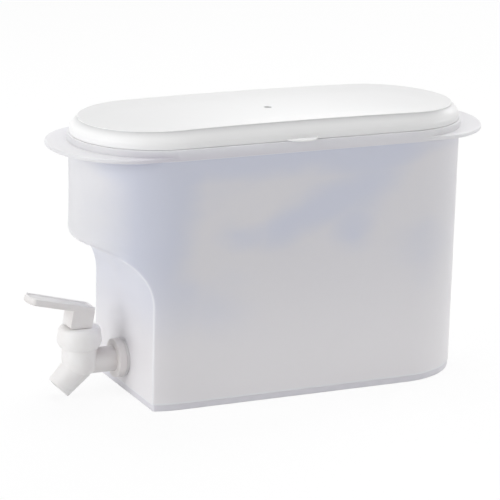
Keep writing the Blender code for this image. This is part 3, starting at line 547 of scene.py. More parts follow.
def mark_tub(tub):
    """Marks painted highlights on the outer edges, and painted light on the end over the tap and
    on both ends of the collar and grips.
    """
    edges, grips = new_marks(tub, "edge", "end_light")
    for vertex, edge, end_light in zip(tub.data.vertices, edges, grips):
        x, y, z = vertex.co - MIDDLE
        past_wall = half_width(z) - spine_distance(x, y)
        # Painted light: the collar and grips turn paler towards both ends
        if z > COLLAR_BOTTOM - MARK_SLACK:
            beyond_collar = clamped(-past_wall / COLLAR_OUT - 1)
            start = PALE_COLLAR_REAR if x > 0 else PALE_COLLAR_FRONT
            end_light.value = clamped((abs(x) - start - GRIP_LAG * beyond_collar) / PALE_FADE)
        past_front = front_distance(-x, z, 0) if z < LIP_CENTRE_HEIGHT else FAR
        # Painted highlights on the corners, the foot step, the collar's bottom and the rim, and
        # painted light on the end over the tap
        if min(past_wall, past_front) < WALL / 2:
            pale = [
                1 - max(past_wall, past_front, 0) / CORNER_RADIUS,
                1 - abs(z - FLOOR_HEIGHT) / STEP_ROUND,
                1 - abs(z - COLLAR_BOTTOM) / COLLAR_ROUND,
                1 - abs(z - RIM_HEIGHT) / RIM_LINE,
            ]
            if z > COVE_START:
                pale.append(PALE_END_SHARE * clamped((-x - PALE_END) / PALE_FADE))
            edge.value = max(*pale, 0) * (1 - end_light.value)


def make_tub():
    """The tub: its outside from the foot up, its inside down again, the grips and the hole."""
    foot_ring = [(FLOOR_UNDERSIDE, FOOT_RING_WIDTH), (0, FOOT_RING_WIDTH)]
    outside = []
    for across, up in arc((0, FOOT_ROUND), FOOT_ROUND, DOWN, OUT, SMALL_ARC_STEPS):
        outside.append((up, FOOT_STEP + FOOT_ROUND - across))
    outside.append((FLOOR_HEIGHT - STEP_ROUND, FOOT_STEP))
    for across, up in arc((0, 0), STEP_ROUND, STEP_ROUND_START, OUT):
        outside.append((FLOOR_HEIGHT + up, STEP_ROUND - across))
    outside.append((FLOOR_HEIGHT + MARK_MARGIN * STEP_ROUND, 0))
    outside.append((COLLAR_BOTTOM - MARK_MARGIN * COLLAR_ROUND, 0))
    outside.append((COLLAR_BOTTOM, 0))
    for across, height in rounded_band(
        COLLAR_OUT, COLLAR_BOTTOM, RIM_HEIGHT, COLLAR_ROUND, SMALL_ARC_STEPS
    ):
        outside.append((height, -across))
    inside = []
    for across, up in arc((0, FLOOR_FILLET), FLOOR_FILLET, DOWN, OUT, LARGE_ARC_STEPS):
        inside.append((FLOOR_HEIGHT + up, FLOOR_FILLET - across))
    inside += [(RIM_HEIGHT - COLLAR_ROUND, 0), (RIM_HEIGHT, COLLAR_ROUND)]
    rings = [tub_ring(height, inset) for height, inset in foot_ring]
    rings += tub_rings(outside, 0)
    rings += reversed(tub_rings(inside, WALL))
    tub = wrapped("frosted_tub", rings)
    combine(tub, grip_plate(), "UNION")
    bpy.ops.mesh.primitive_cylinder_add(
        vertices=ROUND_STEPS,
        radius=THREAD_RADIUS + GAP,
        depth=4 * WALL,
        location=MIDDLE + Vector((-FRONT_FACE + WALL / 2, 0, SHANK_HEIGHT)),
        rotation=(0, math.pi / 2, 0),
    )
    combine(tub, added("tap_hole"), "DIFFERENCE")
    mark_tub(tub)
    smooth(tub)
    return tub


def crown_rise(x):
    """How far the lid's crown lifts its top at x from the middle."""
    return LID_CROWN * max(1 - (x / LID_HALF_LENGTH) ** 2, 0)


def lid_ring(offset, height, crown_share):
    north = []
    for step in range(1, BACK_STEPS + 1):
        angle = math.pi / 2 * step / BACK_STEPS
        north.append((-SPINE_HALF - offset * math.cos(angle), offset * math.sin(angle)))
    for step in range(1, LID_STRAIGHT_STEPS):
        north.append((SPINE_HALF * (2 * step / LID_STRAIGHT_STEPS - 1), offset))
    north += rear_quarter(offset)
    tip = SPINE_HALF + offset
    ring = mirrored(north, (-tip, 0), (tip, 0), LID_BOTTOM + height)
    for point in ring:
        point.z += crown_share * crown_rise(point.x - MIDDLE.x)
    return ring


def lid_side(inset, start, steps):
    """(offset, height, crown share) down the shoulder and the skirt, moved in by an inset."""
    points = []
    top = LID_HEIGHT - LID_STEP
    for step in range(steps + 1):
        height = start + (LID_LIP_HEIGHT - start) * step / steps
        share = max(height - LID_SKIRT_HEIGHT, 0) / (top - LID_SKIRT_HEIGHT)
        narrowing = (LID_BASE_HALF_WIDTH - LID_TOP_HALF_WIDTH) * share**LID_SHOULDER_POWER
        crown = (height - LID_LIP_HEIGHT) / (top - LID_LIP_HEIGHT)
        points.append((LID_BASE_HALF_WIDTH - narrowing - inset, height, crown))
    return points


def lid_profile():
    """(offset, height, crown share) from the panel's middle, round the edge, to the underside."""
    border = LID_TOP_HALF_WIDTH - LID_BORDER
    ramp = []
    for step in range(RAMP_STEPS + 1):
        share = step / RAMP_STEPS
        ramp.append((border - LID_RAMP * (1 - share), LID_DISH * (1 - eased(share))))
    crest = LID_TOP_HALF_WIDTH - LID_STEP_WIDTH
    crest_round = (crest - LID_STEP_WIDTH, LID_HEIGHT - LID_STEP_WIDTH)
    edge = arc(crest_round, LID_STEP_WIDTH, UP, OUT)
    edge.append((crest, LID_HEIGHT - 2 * LID_STEP_WIDTH))
    lip_round = (LID_BASE_HALF_WIDTH - LID_LIP_ROUND, LID_LIP_ROUND)
    lip = arc(lip_round, LID_LIP_ROUND, OUT, DOWN, SMALL_ARC_STEPS)
    plug_inner = PLUG_HALF_WIDTH - PLUG_WALL
    underside = LID_HEIGHT - LID_WALL
    inner_side = reversed(lid_side(LID_WALL, underside, INNER_SHOULDER_STEPS))
    return [
        *[(offset, LID_HEIGHT - LID_DISH, 1) for offset in LID_PANEL_OFFSETS],
        *[(offset, LID_HEIGHT - drop, 1) for offset, drop in ramp],
        *[(offset, height, 1) for offset, height in edge],
        *lid_side(0, LID_HEIGHT - LID_STEP, SHOULDER_STEPS),
        *[(offset, height, 0) for offset, height in lip],
        (PLUG_HALF_WIDTH, 0, 0),
        (PLUG_HALF_WIDTH - PLUG_TAPER, -PLUG_DEPTH, 0),
        (plug_inner, -PLUG_DEPTH, 0),
        (plug_inner, 0, 0),
        *[point for point in inner_side if point[0] < plug_inner],
        *[(offset, underside - drop, 1) for offset, drop in reversed(ramp)],
        *[(offset, underside - LID_DISH, 1) for offset in (LID_PANEL_OFFSETS[-1], 0)],
    ]


def pry_tab():
    """A thin rounded tab rooted in the lid's near wall."""
    radius = ((TAB_WIDTH / 2) ** 2 + TAB_LENGTH**2) / (2 * TAB_LENGTH)
    centre_y = radius - LID_BASE_HALF_WIDTH - TAB_LENGTH
    root_y = LID_WALL / 2 - LID_BASE_HALF_WIDTH
    section = [
        (-TAB_ROUND, 0),
        *rounded_band(0, 0, TAB_THICKNESS, TAB_ROUND, SMALL_ARC_STEPS),
        (-TAB_ROUND, TAB_THICKNESS),
    ]
    rings = []
    for inset, rise in section:
        reach = radius + inset
        half_angle = math.acos((centre_y - root_y) / reach)
        ring = []
        for step in range(TAB_STEPS + 1):
            angle = half_angle * (2 * step / TAB_STEPS - 1)
            x = reach * math.sin(angle)
            y = centre_y - reach * math.cos(angle)
            ring.append(MIDDLE + Vector((x, y, LID_BOTTOM + GAP + rise)))
        rings.append(ring)
    return wrapped("pry_tab", rings)


def mark_lid(lid):
    """Marks painted shade under the crest and in the gate mark, and painted light where the lid
    glows.
    """
    painted_shades, glows = new_marks(lid, "painted_shade", "glow")
    for vertex, painted_shade, glow in zip(lid.data.vertices, painted_shades, glows):
        x, y, z = vertex.co - MIDDLE
        drop = LID_BOTTOM + LID_HEIGHT + crown_rise(x) - z
        outside = spine_distance(x, y) > LID_TOP_HALF_WIDTH - CREST_MARGIN
        # Painted light: a lighter shoulder, and a painted highlight along the panel
        if outside:
            tap_end = clamped((-x - TAP_END_START) / TAP_END_FADE)
            rear_end = clamped((x - REAR_END_START) / REAR_END_FADE)
            glow.value = SHOULDER_GLOW + TAP_END_GLOW * tap_end - REAR_END_DROP * rear_end
        else:
            along = math.exp(-(((x - PANEL_GLOW_PLACE) / PANEL_GLOW_LENGTH) ** 2))
            glow.value = along * (PANEL_GLOW - PANEL_GLOW_SLOPE * y / LID_TOP_HALF_WIDTH)
        # Painted shade: darker under the crest and in the gate mark's hollow
        if outside and drop > CREST_MARGIN:
            painted_shade.value = max(1 - drop / PAINTED_SHADE_DEPTH, 0) ** PAINTED_SHADE_POWER
        elif math.hypot(x, y) < GATE_REACH and drop > LID_DISH + GATE_DEPTH / 2:
            painted_shade.value = 1


def make_lid():
    lid = wrapped("crowned_lid", [lid_ring(*point) for point in lid_profile()])
    combine(lid, pry_tab(), "UNION")
    panel = LID_BOTTOM + LID_HEIGHT - LID_DISH + LID_CROWN
    bpy.ops.mesh.primitive_cylinder_add(
        vertices=GATE_STEPS,
        radius=GATE_RADIUS,
        depth=GATE_RADIUS,
        location=MIDDLE + Vector((0, 0, panel)),
    )
    gate = added("gate")
    select_all_points(gate)
    bpy.ops.transform.translate(value=(0, 0, GATE_RADIUS / 2 - GATE_DEPTH))
    bpy.ops.object.mode_set(mode="OBJECT")
    combine(lid, gate, "DIFFERENCE")
    mark_lid(lid)
    smooth(lid)
    return lid


AT_TAP = Matrix.Translation(TAP_AXIS)
TO_SHANK = Matrix.Translation((0, 0, SHANK_HEIGHT))
ALONG_SHANK = AT_TAP @ TO_SHANK @ Matrix.Rotation(math.pi / 2, 4, "Y")


def shank_profile():
    """(radius, distance from the tap's axis) along the shank, its flange and its thread."""
    flange_start = FLANGE_END - FLANGE_THICKNESS
    return [
        (0, 0),
        (SHANK_RADIUS, 0),
        (SHANK_RADIUS, flange_start),
        *rounded_band(FLANGE_RADIUS, flange_start, FLANGE_END, FLANGE_ROUND),
        (THREAD_RADIUS, FLANGE_END),
        (THREAD_RADIUS, SHANK_END),
        (0, SHANK_END),
    ]


def mark_tap_body(body):
    """Marks painted shade on the shank and its flange, where the barrel shades them."""
    (shades,) = new_marks(body, "shade")
    for vertex, shade in zip(body.data.vertices, shades):
        behind = (vertex.co.x - TAP_AXIS.x) / BARREL_RADIUS
        # Painted shade, rising where the shank leaves the barrel and falling to the flange's
        # share
        rising = max(SHADE_RISE * behind - SHADE_START, 0)
        shade.value = min(rising, max(SHADE_TOP - SHADE_FALL * behind, FLANGE_SHADE))


def make_tap_body():
    """Barrel, shank and spout in one, with the chamber and both bores cut out."""
    round_radii = (BARREL_RADIUS, BARREL_ROUND_START - BARREL_BOTTOM)
    round_middle = (0, BARREL_ROUND_START)
    barrel = ellipse_part(round_radii, round_middle, DOWN, OUT, BARREL_ROUND_STEPS)
    body = turned("moulded_tap", [*barrel, (BARREL_RADIUS, BARREL_TOP), (0, BARREL_TOP)], AT_TAP)
    combine(body, turned("shank", shank_profile(), ALONG_SHANK), "UNION")
    outlet = Vector((-SPOUT_FORWARD, 0, SPOUT_HEIGHT))
    down = Vector((-math.sin(SPOUT_TILT), 0, -math.cos(SPOUT_TILT)))
    turn = down.to_track_quat("Z", "Y").to_matrix().to_4x4()
    in_spout = AT_TAP @ Matrix.Translation(outlet - down * SPOUT_LENGTH) @ turn
    outlet_round = (SPOUT_OUTLET_RADIUS - SPOUT_ROUND, SPOUT_LENGTH - SPOUT_ROUND)
    spout = [
        (0, 0),
        (SPOUT_ROOT_RADIUS, 0),
        *arc(outlet_round, SPOUT_ROUND, OUT, UP),
        (0, SPOUT_LENGTH),
    ]
    combine(body, turned("spout", spout, in_spout), "UNION")
    round_edges(body, JOIN_ROUND)
    bore = SPOUT_OUTLET_RADIUS - SPOUT_WALL
    cut_bore(body, bore, SPOUT_BORE_START, SPOUT_LENGTH + WALL, in_spout)
    under_seat = SEAT_HEIGHT - SEAT_THICKNESS - GAP
    chamber = [
        (0, under_seat),
        (SEAT_HOLE_RADIUS, under_seat),
        (SEAT_HOLE_RADIUS, SEAT_HEIGHT),
        (CHAMBER_RADIUS, SEAT_HEIGHT),
        (CHAMBER_RADIUS, BARREL_TOP + WALL),
        (0, BARREL_TOP + WALL),
    ]
    combine(body, turned("chamber", chamber, AT_TAP), "DIFFERENCE")
    cut_bore(body, SHANK_BORE_RADIUS, CHAMBER_RADIUS - WALL, SHANK_END + WALL, ALONG_SHANK)
    mark_tap_body(body)
    smooth(body)
    return body


def make_washer():
    inner = THREAD_RADIUS + GAP
    start = FLANGE_END + WASHER_SEAT
    end = TAP_REACH - WASHER_SEAT
    rim = rounded_band(WASHER_RADIUS, start, end, WASHER_ROUND, LARGE_ARC_STEPS)
    return turned("soft_washer", [(inner, start), *rim, (inner, end)], ALONG_SHANK)


def make_bonnet():
    inner = BARREL_RADIUS + GAP
    guide = STEM_RADIUS + GAP
    profile = [(inner, BONNET_BOTTOM)]
    for step in range(BONNET_BULGE_STEPS + 1):
        share = step / BONNET_BULGE_STEPS
        widening = (BONNET_BULGE_RADIUS - BONNET_SKIRT_RADIUS) * math.sin(math.pi / 2 * share)
        height = BONNET_BOTTOM + (BONNET_BULGE_HEIGHT - BONNET_BOTTOM) * share
        profile.append((BONNET_SKIRT_RADIUS + widening, height))
    radii = (BONNET_SHOULDER_RADIUS - BONNET_TOP_RADIUS, BONNET_TOP - BONNET_SHOULDER_HEIGHT)
    middle = (BONNET_TOP_RADIUS, BONNET_SHOULDER_HEIGHT)
    profile += ellipse_part(radii, middle, OUT, UP, BONNET_ROUND_STEPS)
    profile += [(guide, BONNET_TOP), (guide, BONNET_CEILING), (inner, BONNET_CEILING)]
    return turned("bulged_bonnet", profile, AT_TAP, BONNET_STEPS)


def rounded_corner(before, corner, after, radius, steps):
    """Points on the arc that rounds one corner of an outline."""
    corner = Vector(corner)
    one = (Vector(before) - corner).normalized()
    two = (Vector(after) - corner).normalized()
    half = one.angle(two) / 2
    middle = corner + (one + two).normalized() * (radius / math.sin(half))
    start = corner + one * (radius / math.tan(half)) - middle
    end = corner + two * (radius / math.tan(half)) - middle
    points = []
    for step in range(steps + 1):
        share = step / steps
        points.append(middle + (start * (1 - share) + end * share).normalized() * radius)
    return points


def paddle_outline(inset):
    """The paddle from above, wider and bowed at the tip, moved in by an inset."""
    reach = PADDLE_TIP_RADIUS - inset
    centre = PADDLE_LENGTH - PADDLE_TIP_RADIUS
    half_angle = math.asin((PADDLE_TIP_HALF - inset) / reach)
    tip = []
    for share in (-1, TIP_CHORD - 1, 1 - TIP_CHORD, 1):
        angle = half_angle * share
        tip.append((centre + reach * math.cos(angle), reach * math.sin(angle)))
    rear_near = (inset, inset - PADDLE_REAR_HALF)
    rear_far = (inset, PADDLE_REAR_HALF - inset)
    tip_round = max(PADDLE_CORNER - inset, PADDLE_LEAST_ROUND)
    rear_round = max(PADDLE_ROUND - inset, PADDLE_LEAST_ROUND)
    near = rounded_corner(rear_near, tip[0], tip[1], tip_round, PADDLE_CORNER_STEPS)
    far = rounded_corner(tip[2], tip[3], rear_far, tip_round, PADDLE_CORNER_STEPS)
    first, last = near[-1], far[0]
    across = []
    for step in range(1, TIP_STEPS):
        y = first.y + (last.y - first.y) * step / TIP_STEPS
        across.append((centre + math.sqrt(reach**2 - y**2), y))
    return [
        *near,
        *across,
        *far,
        *rounded_corner(tip[3], rear_far, rear_near, rear_round, SMALL_ARC_STEPS),
        *rounded_corner(rear_far, rear_near, tip[0], rear_round, SMALL_ARC_STEPS),
    ]


def make_paddle(place):
    """The paddle with its sunk top, which faces a place's +Z."""
    rim_edge = PADDLE_RIM + PADDLE_RECESS / 2
    lower_round = (-PADDLE_ROUND, PADDLE_ROUND - PADDLE_THICKNESS)
    upper_round = (-PADDLE_ROUND / 2, -PADDLE_ROUND / 2)
    section = [
        (rim_edge, -PADDLE_THICKNESS),
        *arc(lower_round, PADDLE_ROUND, DOWN, OUT),
        *arc(upper_round, PADDLE_ROUND / 2, OUT, UP, SMALL_ARC_STEPS),
        (PADDLE_RIM, 0),
        (rim_edge, -PADDLE_RECESS),
    ]
    rings = []
    for across, up in section:
        rings.append([place @ Vector((x, y, up)) for x, y in paddle_outline(abs(across))])
    return wrapped("paddle", rings)


def mark_lever(lever, paddle_place):
    """Marks painted shade: the hub's near side, the paddle's underside, its sides and its recess.
    """
    to_paddle = paddle_place.inverted()
    (shades,) = new_marks(lever, "shade")
    # Painted shade on the parts that face away from the lamps
    for vertex, shade in zip(lever.data.vertices, shades):
        above_bottom = PADDLE_THICKNESS + (to_paddle @ vertex.co).z
        if above_bottom < -HUB_ROUND:
            shade.value = clamped((TAP_AXIS.y - vertex.co.y) / HUB_HALF_WIDTH) * HUB_SHADE
        elif above_bottom < PADDLE_THICKNESS / 2:
            shade.value = PADDLE_SIDE_SHADE
        elif above_bottom < PADDLE_THICKNESS - PADDLE_RECESS / 2:
            shade.value = PADDLE_RECESS_SHADE


def make_lever():
    """Hub with its cam heel, its slot for the stem's eye and its pin bore, and the paddle."""
    pivot = AT_TAP @ Matrix.Translation((0, 0, BONNET_TOP + GAP + CAM_BASE))
    hub_top = PADDLE_REAR_HEIGHT - PADDLE_THICKNESS / 2
    front_top = hub_top + (PADDLE_REAR + HUB_FRONT_TOP) * math.tan(PADDLE_RISE)
    outline = [(HUB_REAR_BOTTOM, -CAM_BASE)]
    for step in range(CAM_STEPS + 1):
        angle = LEVER_TRAVEL * step / CAM_STEPS
        reach = CAM_BASE + CAM_LIFT * angle
        x = -reach * math.sin(angle) - CAM_LIFT * math.cos(angle)
        z = -reach * math.cos(angle) + CAM_LIFT * math.sin(angle)
        outline.append((x, z))
    outline += [(-HUB_FRONT_TOP, front_top), (HUB_REAR_TOP, hub_top)]
    lever = extruded("press_lever", outline, HUB_HALF_WIDTH, pivot)
    round_edges(lever, HUB_ROUND)
    turn = Matrix.Rotation(PADDLE_RISE, 4, "Y") @ Matrix.Rotation(math.pi, 4, "Z")
    paddle_place = pivot @ Matrix.Translation((PADDLE_REAR, 0, PADDLE_REAR_HEIGHT)) @ turn
    combine(lever, make_paddle(paddle_place), "UNION")
    swing = CAM_BASE * math.tan(LEVER_TRAVEL) + STEM_RADIUS / math.cos(LEVER_TRAVEL) + GAP
    eye = EYE_RADIUS + GAP
    below = -CAM_BASE - WALL
    slot = [(eye, below), (-swing, below), (-swing, 0), (-eye, eye), (eye, eye)]
    combine(lever, extruded("slot", slot, EYE_THICKNESS / 2 + GAP, pivot), "DIFFERENCE")
    across = pivot @ Matrix.Rotation(math.pi / 2, 4, "X")
    start = -HUB_HALF_WIDTH - WALL
    cut_bore(lever, PIN_RADIUS + GAP, start, HUB_HALF_WIDTH - PIN_COVER, across, PIN_STEPS)
    mark_lever(lever, paddle_place)
    smooth(lever)
    return lever


# Finishes of moulded plastic: light and dark tone, roughness, cloud and grain size, bump
FROSTED_FINISH = ((1, 1, 1), (1, 1, 1), 0.42, 14, 1200, 0.08)
LID_FINISH = ((0.76, 0.76, 0.76), (0.75, 0.75, 0.753), 0.34, 10, 1500, 0.05)
TAP_FINISH = ((0.92, 0.91, 0.905), (0.885, 0.865, 0.855), 0.42, 60, 2600, 0.12)
SILICONE_FINISH = ((0.76, 0.75, 0.745), (0.70, 0.69, 0.69), 0.55, 80, 3000, 0.1)
CLOUD_NOISE = {"Detail": 3, "Roughness": 0.55}
CLOUD_RANGE = (0.36, 0.64)
ROUGHNESS_CHANGE = (-0.04, 0.05)
GRAIN_NOISE = {"Detail": 2}
GRAIN_DEPTH = 0.00002

# Tones that a mark blends in: painted light and painted shade on the lid, painted shade on the
# tap
LID_TONES = {"glow": (0.98, 0.98, 0.98), "painted_shade": (0.61, 0.61, 0.615)}
TAP_TONES = {"shade": (0.63, 0.59, 0.58)}

# The frosted wall's tones, each laid over those before it
FROSTED_TONES = {
    "Clear tone": (0.75, 0.74, 0.775),
    "Cloudy tone": (0.65, 0.672, 0.78),
    # Painted light from the floor, lighter low down
    "Low tone": (0.885, 0.865, 0.89),
    # Painted shade on the foot band, below the floor
    "Foot tone": (0.77, 0.76, 0.81),
    "Collar tone": (0.66, 0.645, 0.705),
    # Painted light on the ends of the collar and grips
    "Grip tone": (0.775, 0.77, 0.79),
    # Painted highlight on the edges and on the end over the tap
    "Edge tone": (0.88, 0.895, 0.925),
}
# Height up to which the painted floor light reaches
FLOOR_LIGHT_TOP = 0.11
SHEEN = 0.4
SHEEN_ROUGHNESS = 0.5
SINK_SHARE = 0.35
SINK_DEPTH = 0.004

# Bluish clouds in the frosted wall
BLUE_STRETCH = {"Rotation": (0, math.radians(-22), 0), "Scale": (0.7, 1.0, 1.2)}
BLUE_NOISE = {"Scale": 16, "Detail": 2, "Distortion": 0.6}
BLUE_NOISE_SHARE = 0.7
BLUE_RANGE = (0.5, 0.96)
# Where they gather: middle x and z, half-sizes along x and z, tilt in degrees, strength
BLUE_PATCHES = (
    (-0.093, 0.122, 0.036, 0.110, 0, 0.62),
    (-0.052, 0.062, 0.062, 0.034, 0, 0.40),
    (0.000, 0.166, 0.170, 0.019, 0, 0.54),
    (0.054, 0.139, 0.052, 0.034, -30, 0.52),
    (0.004, 0.121, 0.052, 0.018, -22, 0.44),
    (-0.038, 0.114, 0.022, 0.016, 0, 0.34),
    (0.048, 0.106, 0.022, 0.018, 0, 0.30),
    (0.098, 0.090, 0.036, 0.050, 0, 0.22),
)
THROUGH = 1000  # half-size along y, so that a patch goes right through the tub


def add_node(tree, kind, values=None, **settings):
    """A new node, with its settings and then the values of its inputs."""
    node = tree.nodes.new(kind)
    for name, value in settings.items():
        setattr(node, name, value)
    for name, value in (values or {}).items():
        node.inputs[name].default_value = value
    return node


def range_node(tree, value, bounds, **settings):
    """The share, from 0 to 1, at which a value lies between two bounds."""
    node = add_node(
        tree, "ShaderNodeMapRange", {"From Min": bounds[0], "From Max": bounds[1]}, **settings
    )
    tree.links.new(value, node.inputs["Value"])
    return node.outputs["Result"]


def blend_node(tree, share, first, second):
    """A blend of two colours, the second a socket or plain values."""
    node = add_node(tree, "ShaderNodeMix", data_type="RGBA")
    tree.links.new(share, node.inputs["Factor"])
    tree.links.new(first, node.inputs["A"])
    if isinstance(second, tuple):
        node.inputs["B"].default_value = (*second, 1)
    else:
        tree.links.new(second, node.inputs["B"])
    return node.outputs["Result"]


def scaled_sum(tree, value, factor, addend):
    """A value times a factor, plus a socket or a plain value."""
    node = add_node(tree, "ShaderNodeMath", {1: factor}, operation="MULTIPLY_ADD")
    tree.links.new(value, node.inputs[0])
    if isinstance(addend, float):
        node.inputs[2].default_value = addend
    else:
        tree.links.new(addend, node.inputs[2])
    return node.outputs["Value"]


def new_group(name, inputs, outputs):
    """A node group from its sockets' names and kinds, with its input and output sockets."""
    group = bpy.data.node_groups.new(name, "ShaderNodeTree")
    for side, sockets in (("INPUT", inputs), ("OUTPUT", outputs)):
        for socket, kind in sockets.items():
            group.interface.new_socket(
                name=socket, in_out=side, socket_type="NodeSocket" + kind
            )
    source = group.nodes.new("NodeGroupInput").outputs
    out = group.nodes.new("NodeGroupOutput").inputs
    return group, source, out


def moulded_group():
    """Colour, roughness and height of moulded plastic: a cloudy tone and a fine grain."""
    inputs = {
        "Position": "Vector",
        "Light tone": "Color",
        "Dark tone": "Color",
        "Cloud size": "Float",
        "Grain size": "Float",
        "Roughness": "Float",
    }
    outputs = {"Colour": "Color", "Roughness": "Float", "Height": "Float"}
    group, source, out = new_group("Moulded plastic", inputs, outputs)
    links = group.links
    cloud = add_node(group, "ShaderNodeTexNoise", CLOUD_NOISE)
    links.new(source["Position"], cloud.inputs["Vector"])
    links.new(source["Cloud size"], cloud.inputs["Scale"])
    share = range_node(group, cloud.outputs["Fac"], CLOUD_RANGE)
    tone = blend_node(group, share, source["Light tone"], source["Dark tone"])
    links.new(tone, out["Colour"])
    least, most = ROUGHNESS_CHANGE
    change = scaled_sum(group, cloud.outputs["Fac"], most - least, least)
    total = add_node(group, "ShaderNodeMath", operation="ADD")
    links.new(source["Roughness"], total.inputs[0])
    links.new(change, total.inputs[1])
    links.new(total.outputs["Value"], out["Roughness"])
    grain = add_node(group, "ShaderNodeTexNoise", GRAIN_NOISE)
    links.new(source["Position"], grain.inputs["Vector"])
    links.new(source["Grain size"], grain.inputs["Scale"])
    links.new(grain.outputs["Fac"], out["Height"])
    return group


def blue_share(group, position):
    """How bluish the frosted wall is: stretched noise, lifted inside the patches."""
    links = group.links
    stretched = add_node(group, "ShaderNodeMapping", BLUE_STRETCH)
    links.new(position, stretched.inputs["Vector"])
    cloud = add_node(group, "ShaderNodeTexNoise", BLUE_NOISE)
    links.new(stretched.outputs["Vector"], cloud.inputs["Vector"])
    rest = (1 - BLUE_NOISE_SHARE) / 2
    total = scaled_sum(group, cloud.outputs["Fac"], BLUE_NOISE_SHARE, rest)
    for x, z, half_x, half_z, tilt, strength in BLUE_PATCHES:
        patch = add_node(group, "ShaderNodeMapping", vector_type="TEXTURE")
        patch.inputs["Location"].default_value = (x, 0, z)
        patch.inputs["Rotation"].default_value = (0, math.radians(tilt), 0)
        patch.inputs["Scale"].default_value = (half_x, THROUGH, half_z)
        links.new(position, patch.inputs["Vector"])
        fade = add_node(group, "ShaderNodeTexGradient", gradient_type="SPHERICAL")
        links.new(patch.outputs["Vector"], fade.inputs["Vector"])
        total = scaled_sum(group, fade.outputs["Fac"], strength, total)
    return range_node(group, total, BLUE_RANGE, interpolation_type="SMOOTHSTEP")


def frosted_group():
    """Colour of the frosted wall: bluish clouds, painted light low down, dull collar, painted
    shade on the foot band, painted highlights on edges and painted light on the ends.
    """
    inputs = {"Position": "Vector", "Edge": "Float", "End_Light": "Float"}
    inputs.update((name, "Color") for name in FROSTED_TONES)
    group, source, out = new_group("Frosted tones", inputs, {"Colour": "Color"})
    apart = add_node(group, "ShaderNodeSeparateXYZ")
    group.links.new(source["Position"], apart.inputs[0])
    height = apart.outputs["Z"]
    low = (FLOOR_LIGHT_TOP, FLOOR_HEIGHT)
    foot = (FLOOR_HEIGHT, FLOOR_HEIGHT - STEP_ROUND)
    collar = (COLLAR_BOTTOM - COLLAR_ROUND, COLLAR_BOTTOM)
    masks = {
        "Cloudy tone": blue_share(group, source["Position"]),
        "Low tone": range_node(group, height, low, interpolation_type="SMOOTHSTEP"),
        "Foot tone": range_node(group, height, foot),
        "Collar tone": range_node(group, height, collar),
        "Grip tone": source["End_Light"],
        "Edge tone": source["Edge"],
    }
    tone = source["Clear tone"]
    for name, mask in masks.items():
        tone = blend_node(group, mask, tone, source[name])
    group.links.new(tone, out["Colour"])
    return group


MOULDED = moulded_group()


def moulded(name, light, dark, roughness, cloud_size, grain_size, bump):
    """A finish from the moulded group, with its shader in the material."""
    finish = bpy.data.materials.new(name)
    finish.use_nodes = True
    tree = finish.node_tree
    shader = tree.nodes["Principled BSDF"]
    place = add_node(tree, "ShaderNodeTexCoord")
    values = {
        "Light tone": (*light, 1),
        "Dark tone": (*dark, 1),
        "Cloud size": cloud_size,
        "Grain size": grain_size,
        "Roughness": roughness,
    }
    look = add_node(tree, "ShaderNodeGroup", values, node_tree=MOULDED, name="Moulded")
    tree.links.new(place.outputs["Object"], look.inputs["Position"])
    tree.links.new(look.outputs["Colour"], shader.inputs["Base Color"])
    tree.links.new(look.outputs["Roughness"], shader.inputs["Roughness"])
    relief = add_node(tree, "ShaderNodeBump", {"Strength": bump, "Distance": GRAIN_DEPTH})
    tree.links.new(look.outputs["Height"], relief.inputs["Height"])
    tree.links.new(relief.outputs["Normal"], shader.inputs["Normal"])
    return finish


def mark_value(tree, name):
    """The value that a piece's mesh holds under a name."""
    return add_node(tree, "ShaderNodeAttribute", attribute_name=name).outputs["Fac"]


def blend_marks(finish, tones):
    """Blends the finish's colour towards a tone wherever a mesh attribute marks it."""
    tree = finish.node_tree
    tone = tree.nodes["Moulded"].outputs["Colour"]
    for name, colour in tones.items():
        tone = blend_node(tree, mark_value(tree, name), tone, colour)
    tree.links.new(tone, tree.nodes["Principled BSDF"].inputs["Base Color"])


def make_frosted():
    """The tub's finish: the moulded grain with its tones, painted light and shade among them, and
    light that sinks in.
    """
    frosted = moulded("Frosted polypropylene", *FROSTED_FINISH)
    tree = frosted.node_tree
    values = {name: (*colour, 1) for name, colour in FROSTED_TONES.items()}
    tones = add_node(tree, "ShaderNodeGroup", values, node_tree=frosted_group(), name="Frosted")
    place = add_node(tree, "ShaderNodeTexCoord")
    tree.links.new(place.outputs["Object"], tones.inputs["Position"])
    for name in ("edge", "end_light"):
        tree.links.new(mark_value(tree, name), tones.inputs[name.title()])
    shader = tree.nodes["Principled BSDF"]
    tree.links.new(tones.outputs["Colour"], shader.inputs["Base Color"])
    shader.inputs["Sheen Weight"].default_value = SHEEN
    shader.inputs["Sheen Roughness"].default_value = SHEEN_ROUGHNESS
    shader.inputs["Subsurface Weight"].default_value = SINK_SHARE
    shader.inputs["Subsurface Radius"].default_value = (1, 1, 1)
    shader.inputs["Subsurface Scale"].default_value = SINK_DEPTH
    return frosted


def make_finishes():
    lid = moulded("White lid", *LID_FINISH)
    blend_marks(lid, LID_TONES)
    tap = moulded("White tap", *TAP_FINISH)
    blend_marks(tap, TAP_TONES)
    return make_frosted(), lid, tap, moulded("Silicone", *SILICONE_FINISH)


def wear(obj, finish):
    obj.data.materials.clear()
    obj.data.materials.append(finish)


# Camera, fitted to the photo
CAMERA_PLACE = Vector((-0.731935, -1.544913, 0.549230)) + MIDDLE
CAMERA_YAW = 0.43684178820610253
CAMERA_PITCH = 0.26471646798987736
CAMERA_ROLL = 0.023734780924666427
CAMERA_LENS = 190.948
SENSOR_WIDTH = 36
SIGHT_END = 50

# Light and floor
WHITE = (1, 1, 1, 1)
AMBIENT = 0.26
FLOOR_SIZE = 14
FLOOR_TONE = 0.92
FLOOR_SHOWS_LIGHT = 0.15
FLOOR_GLOW = 1.03
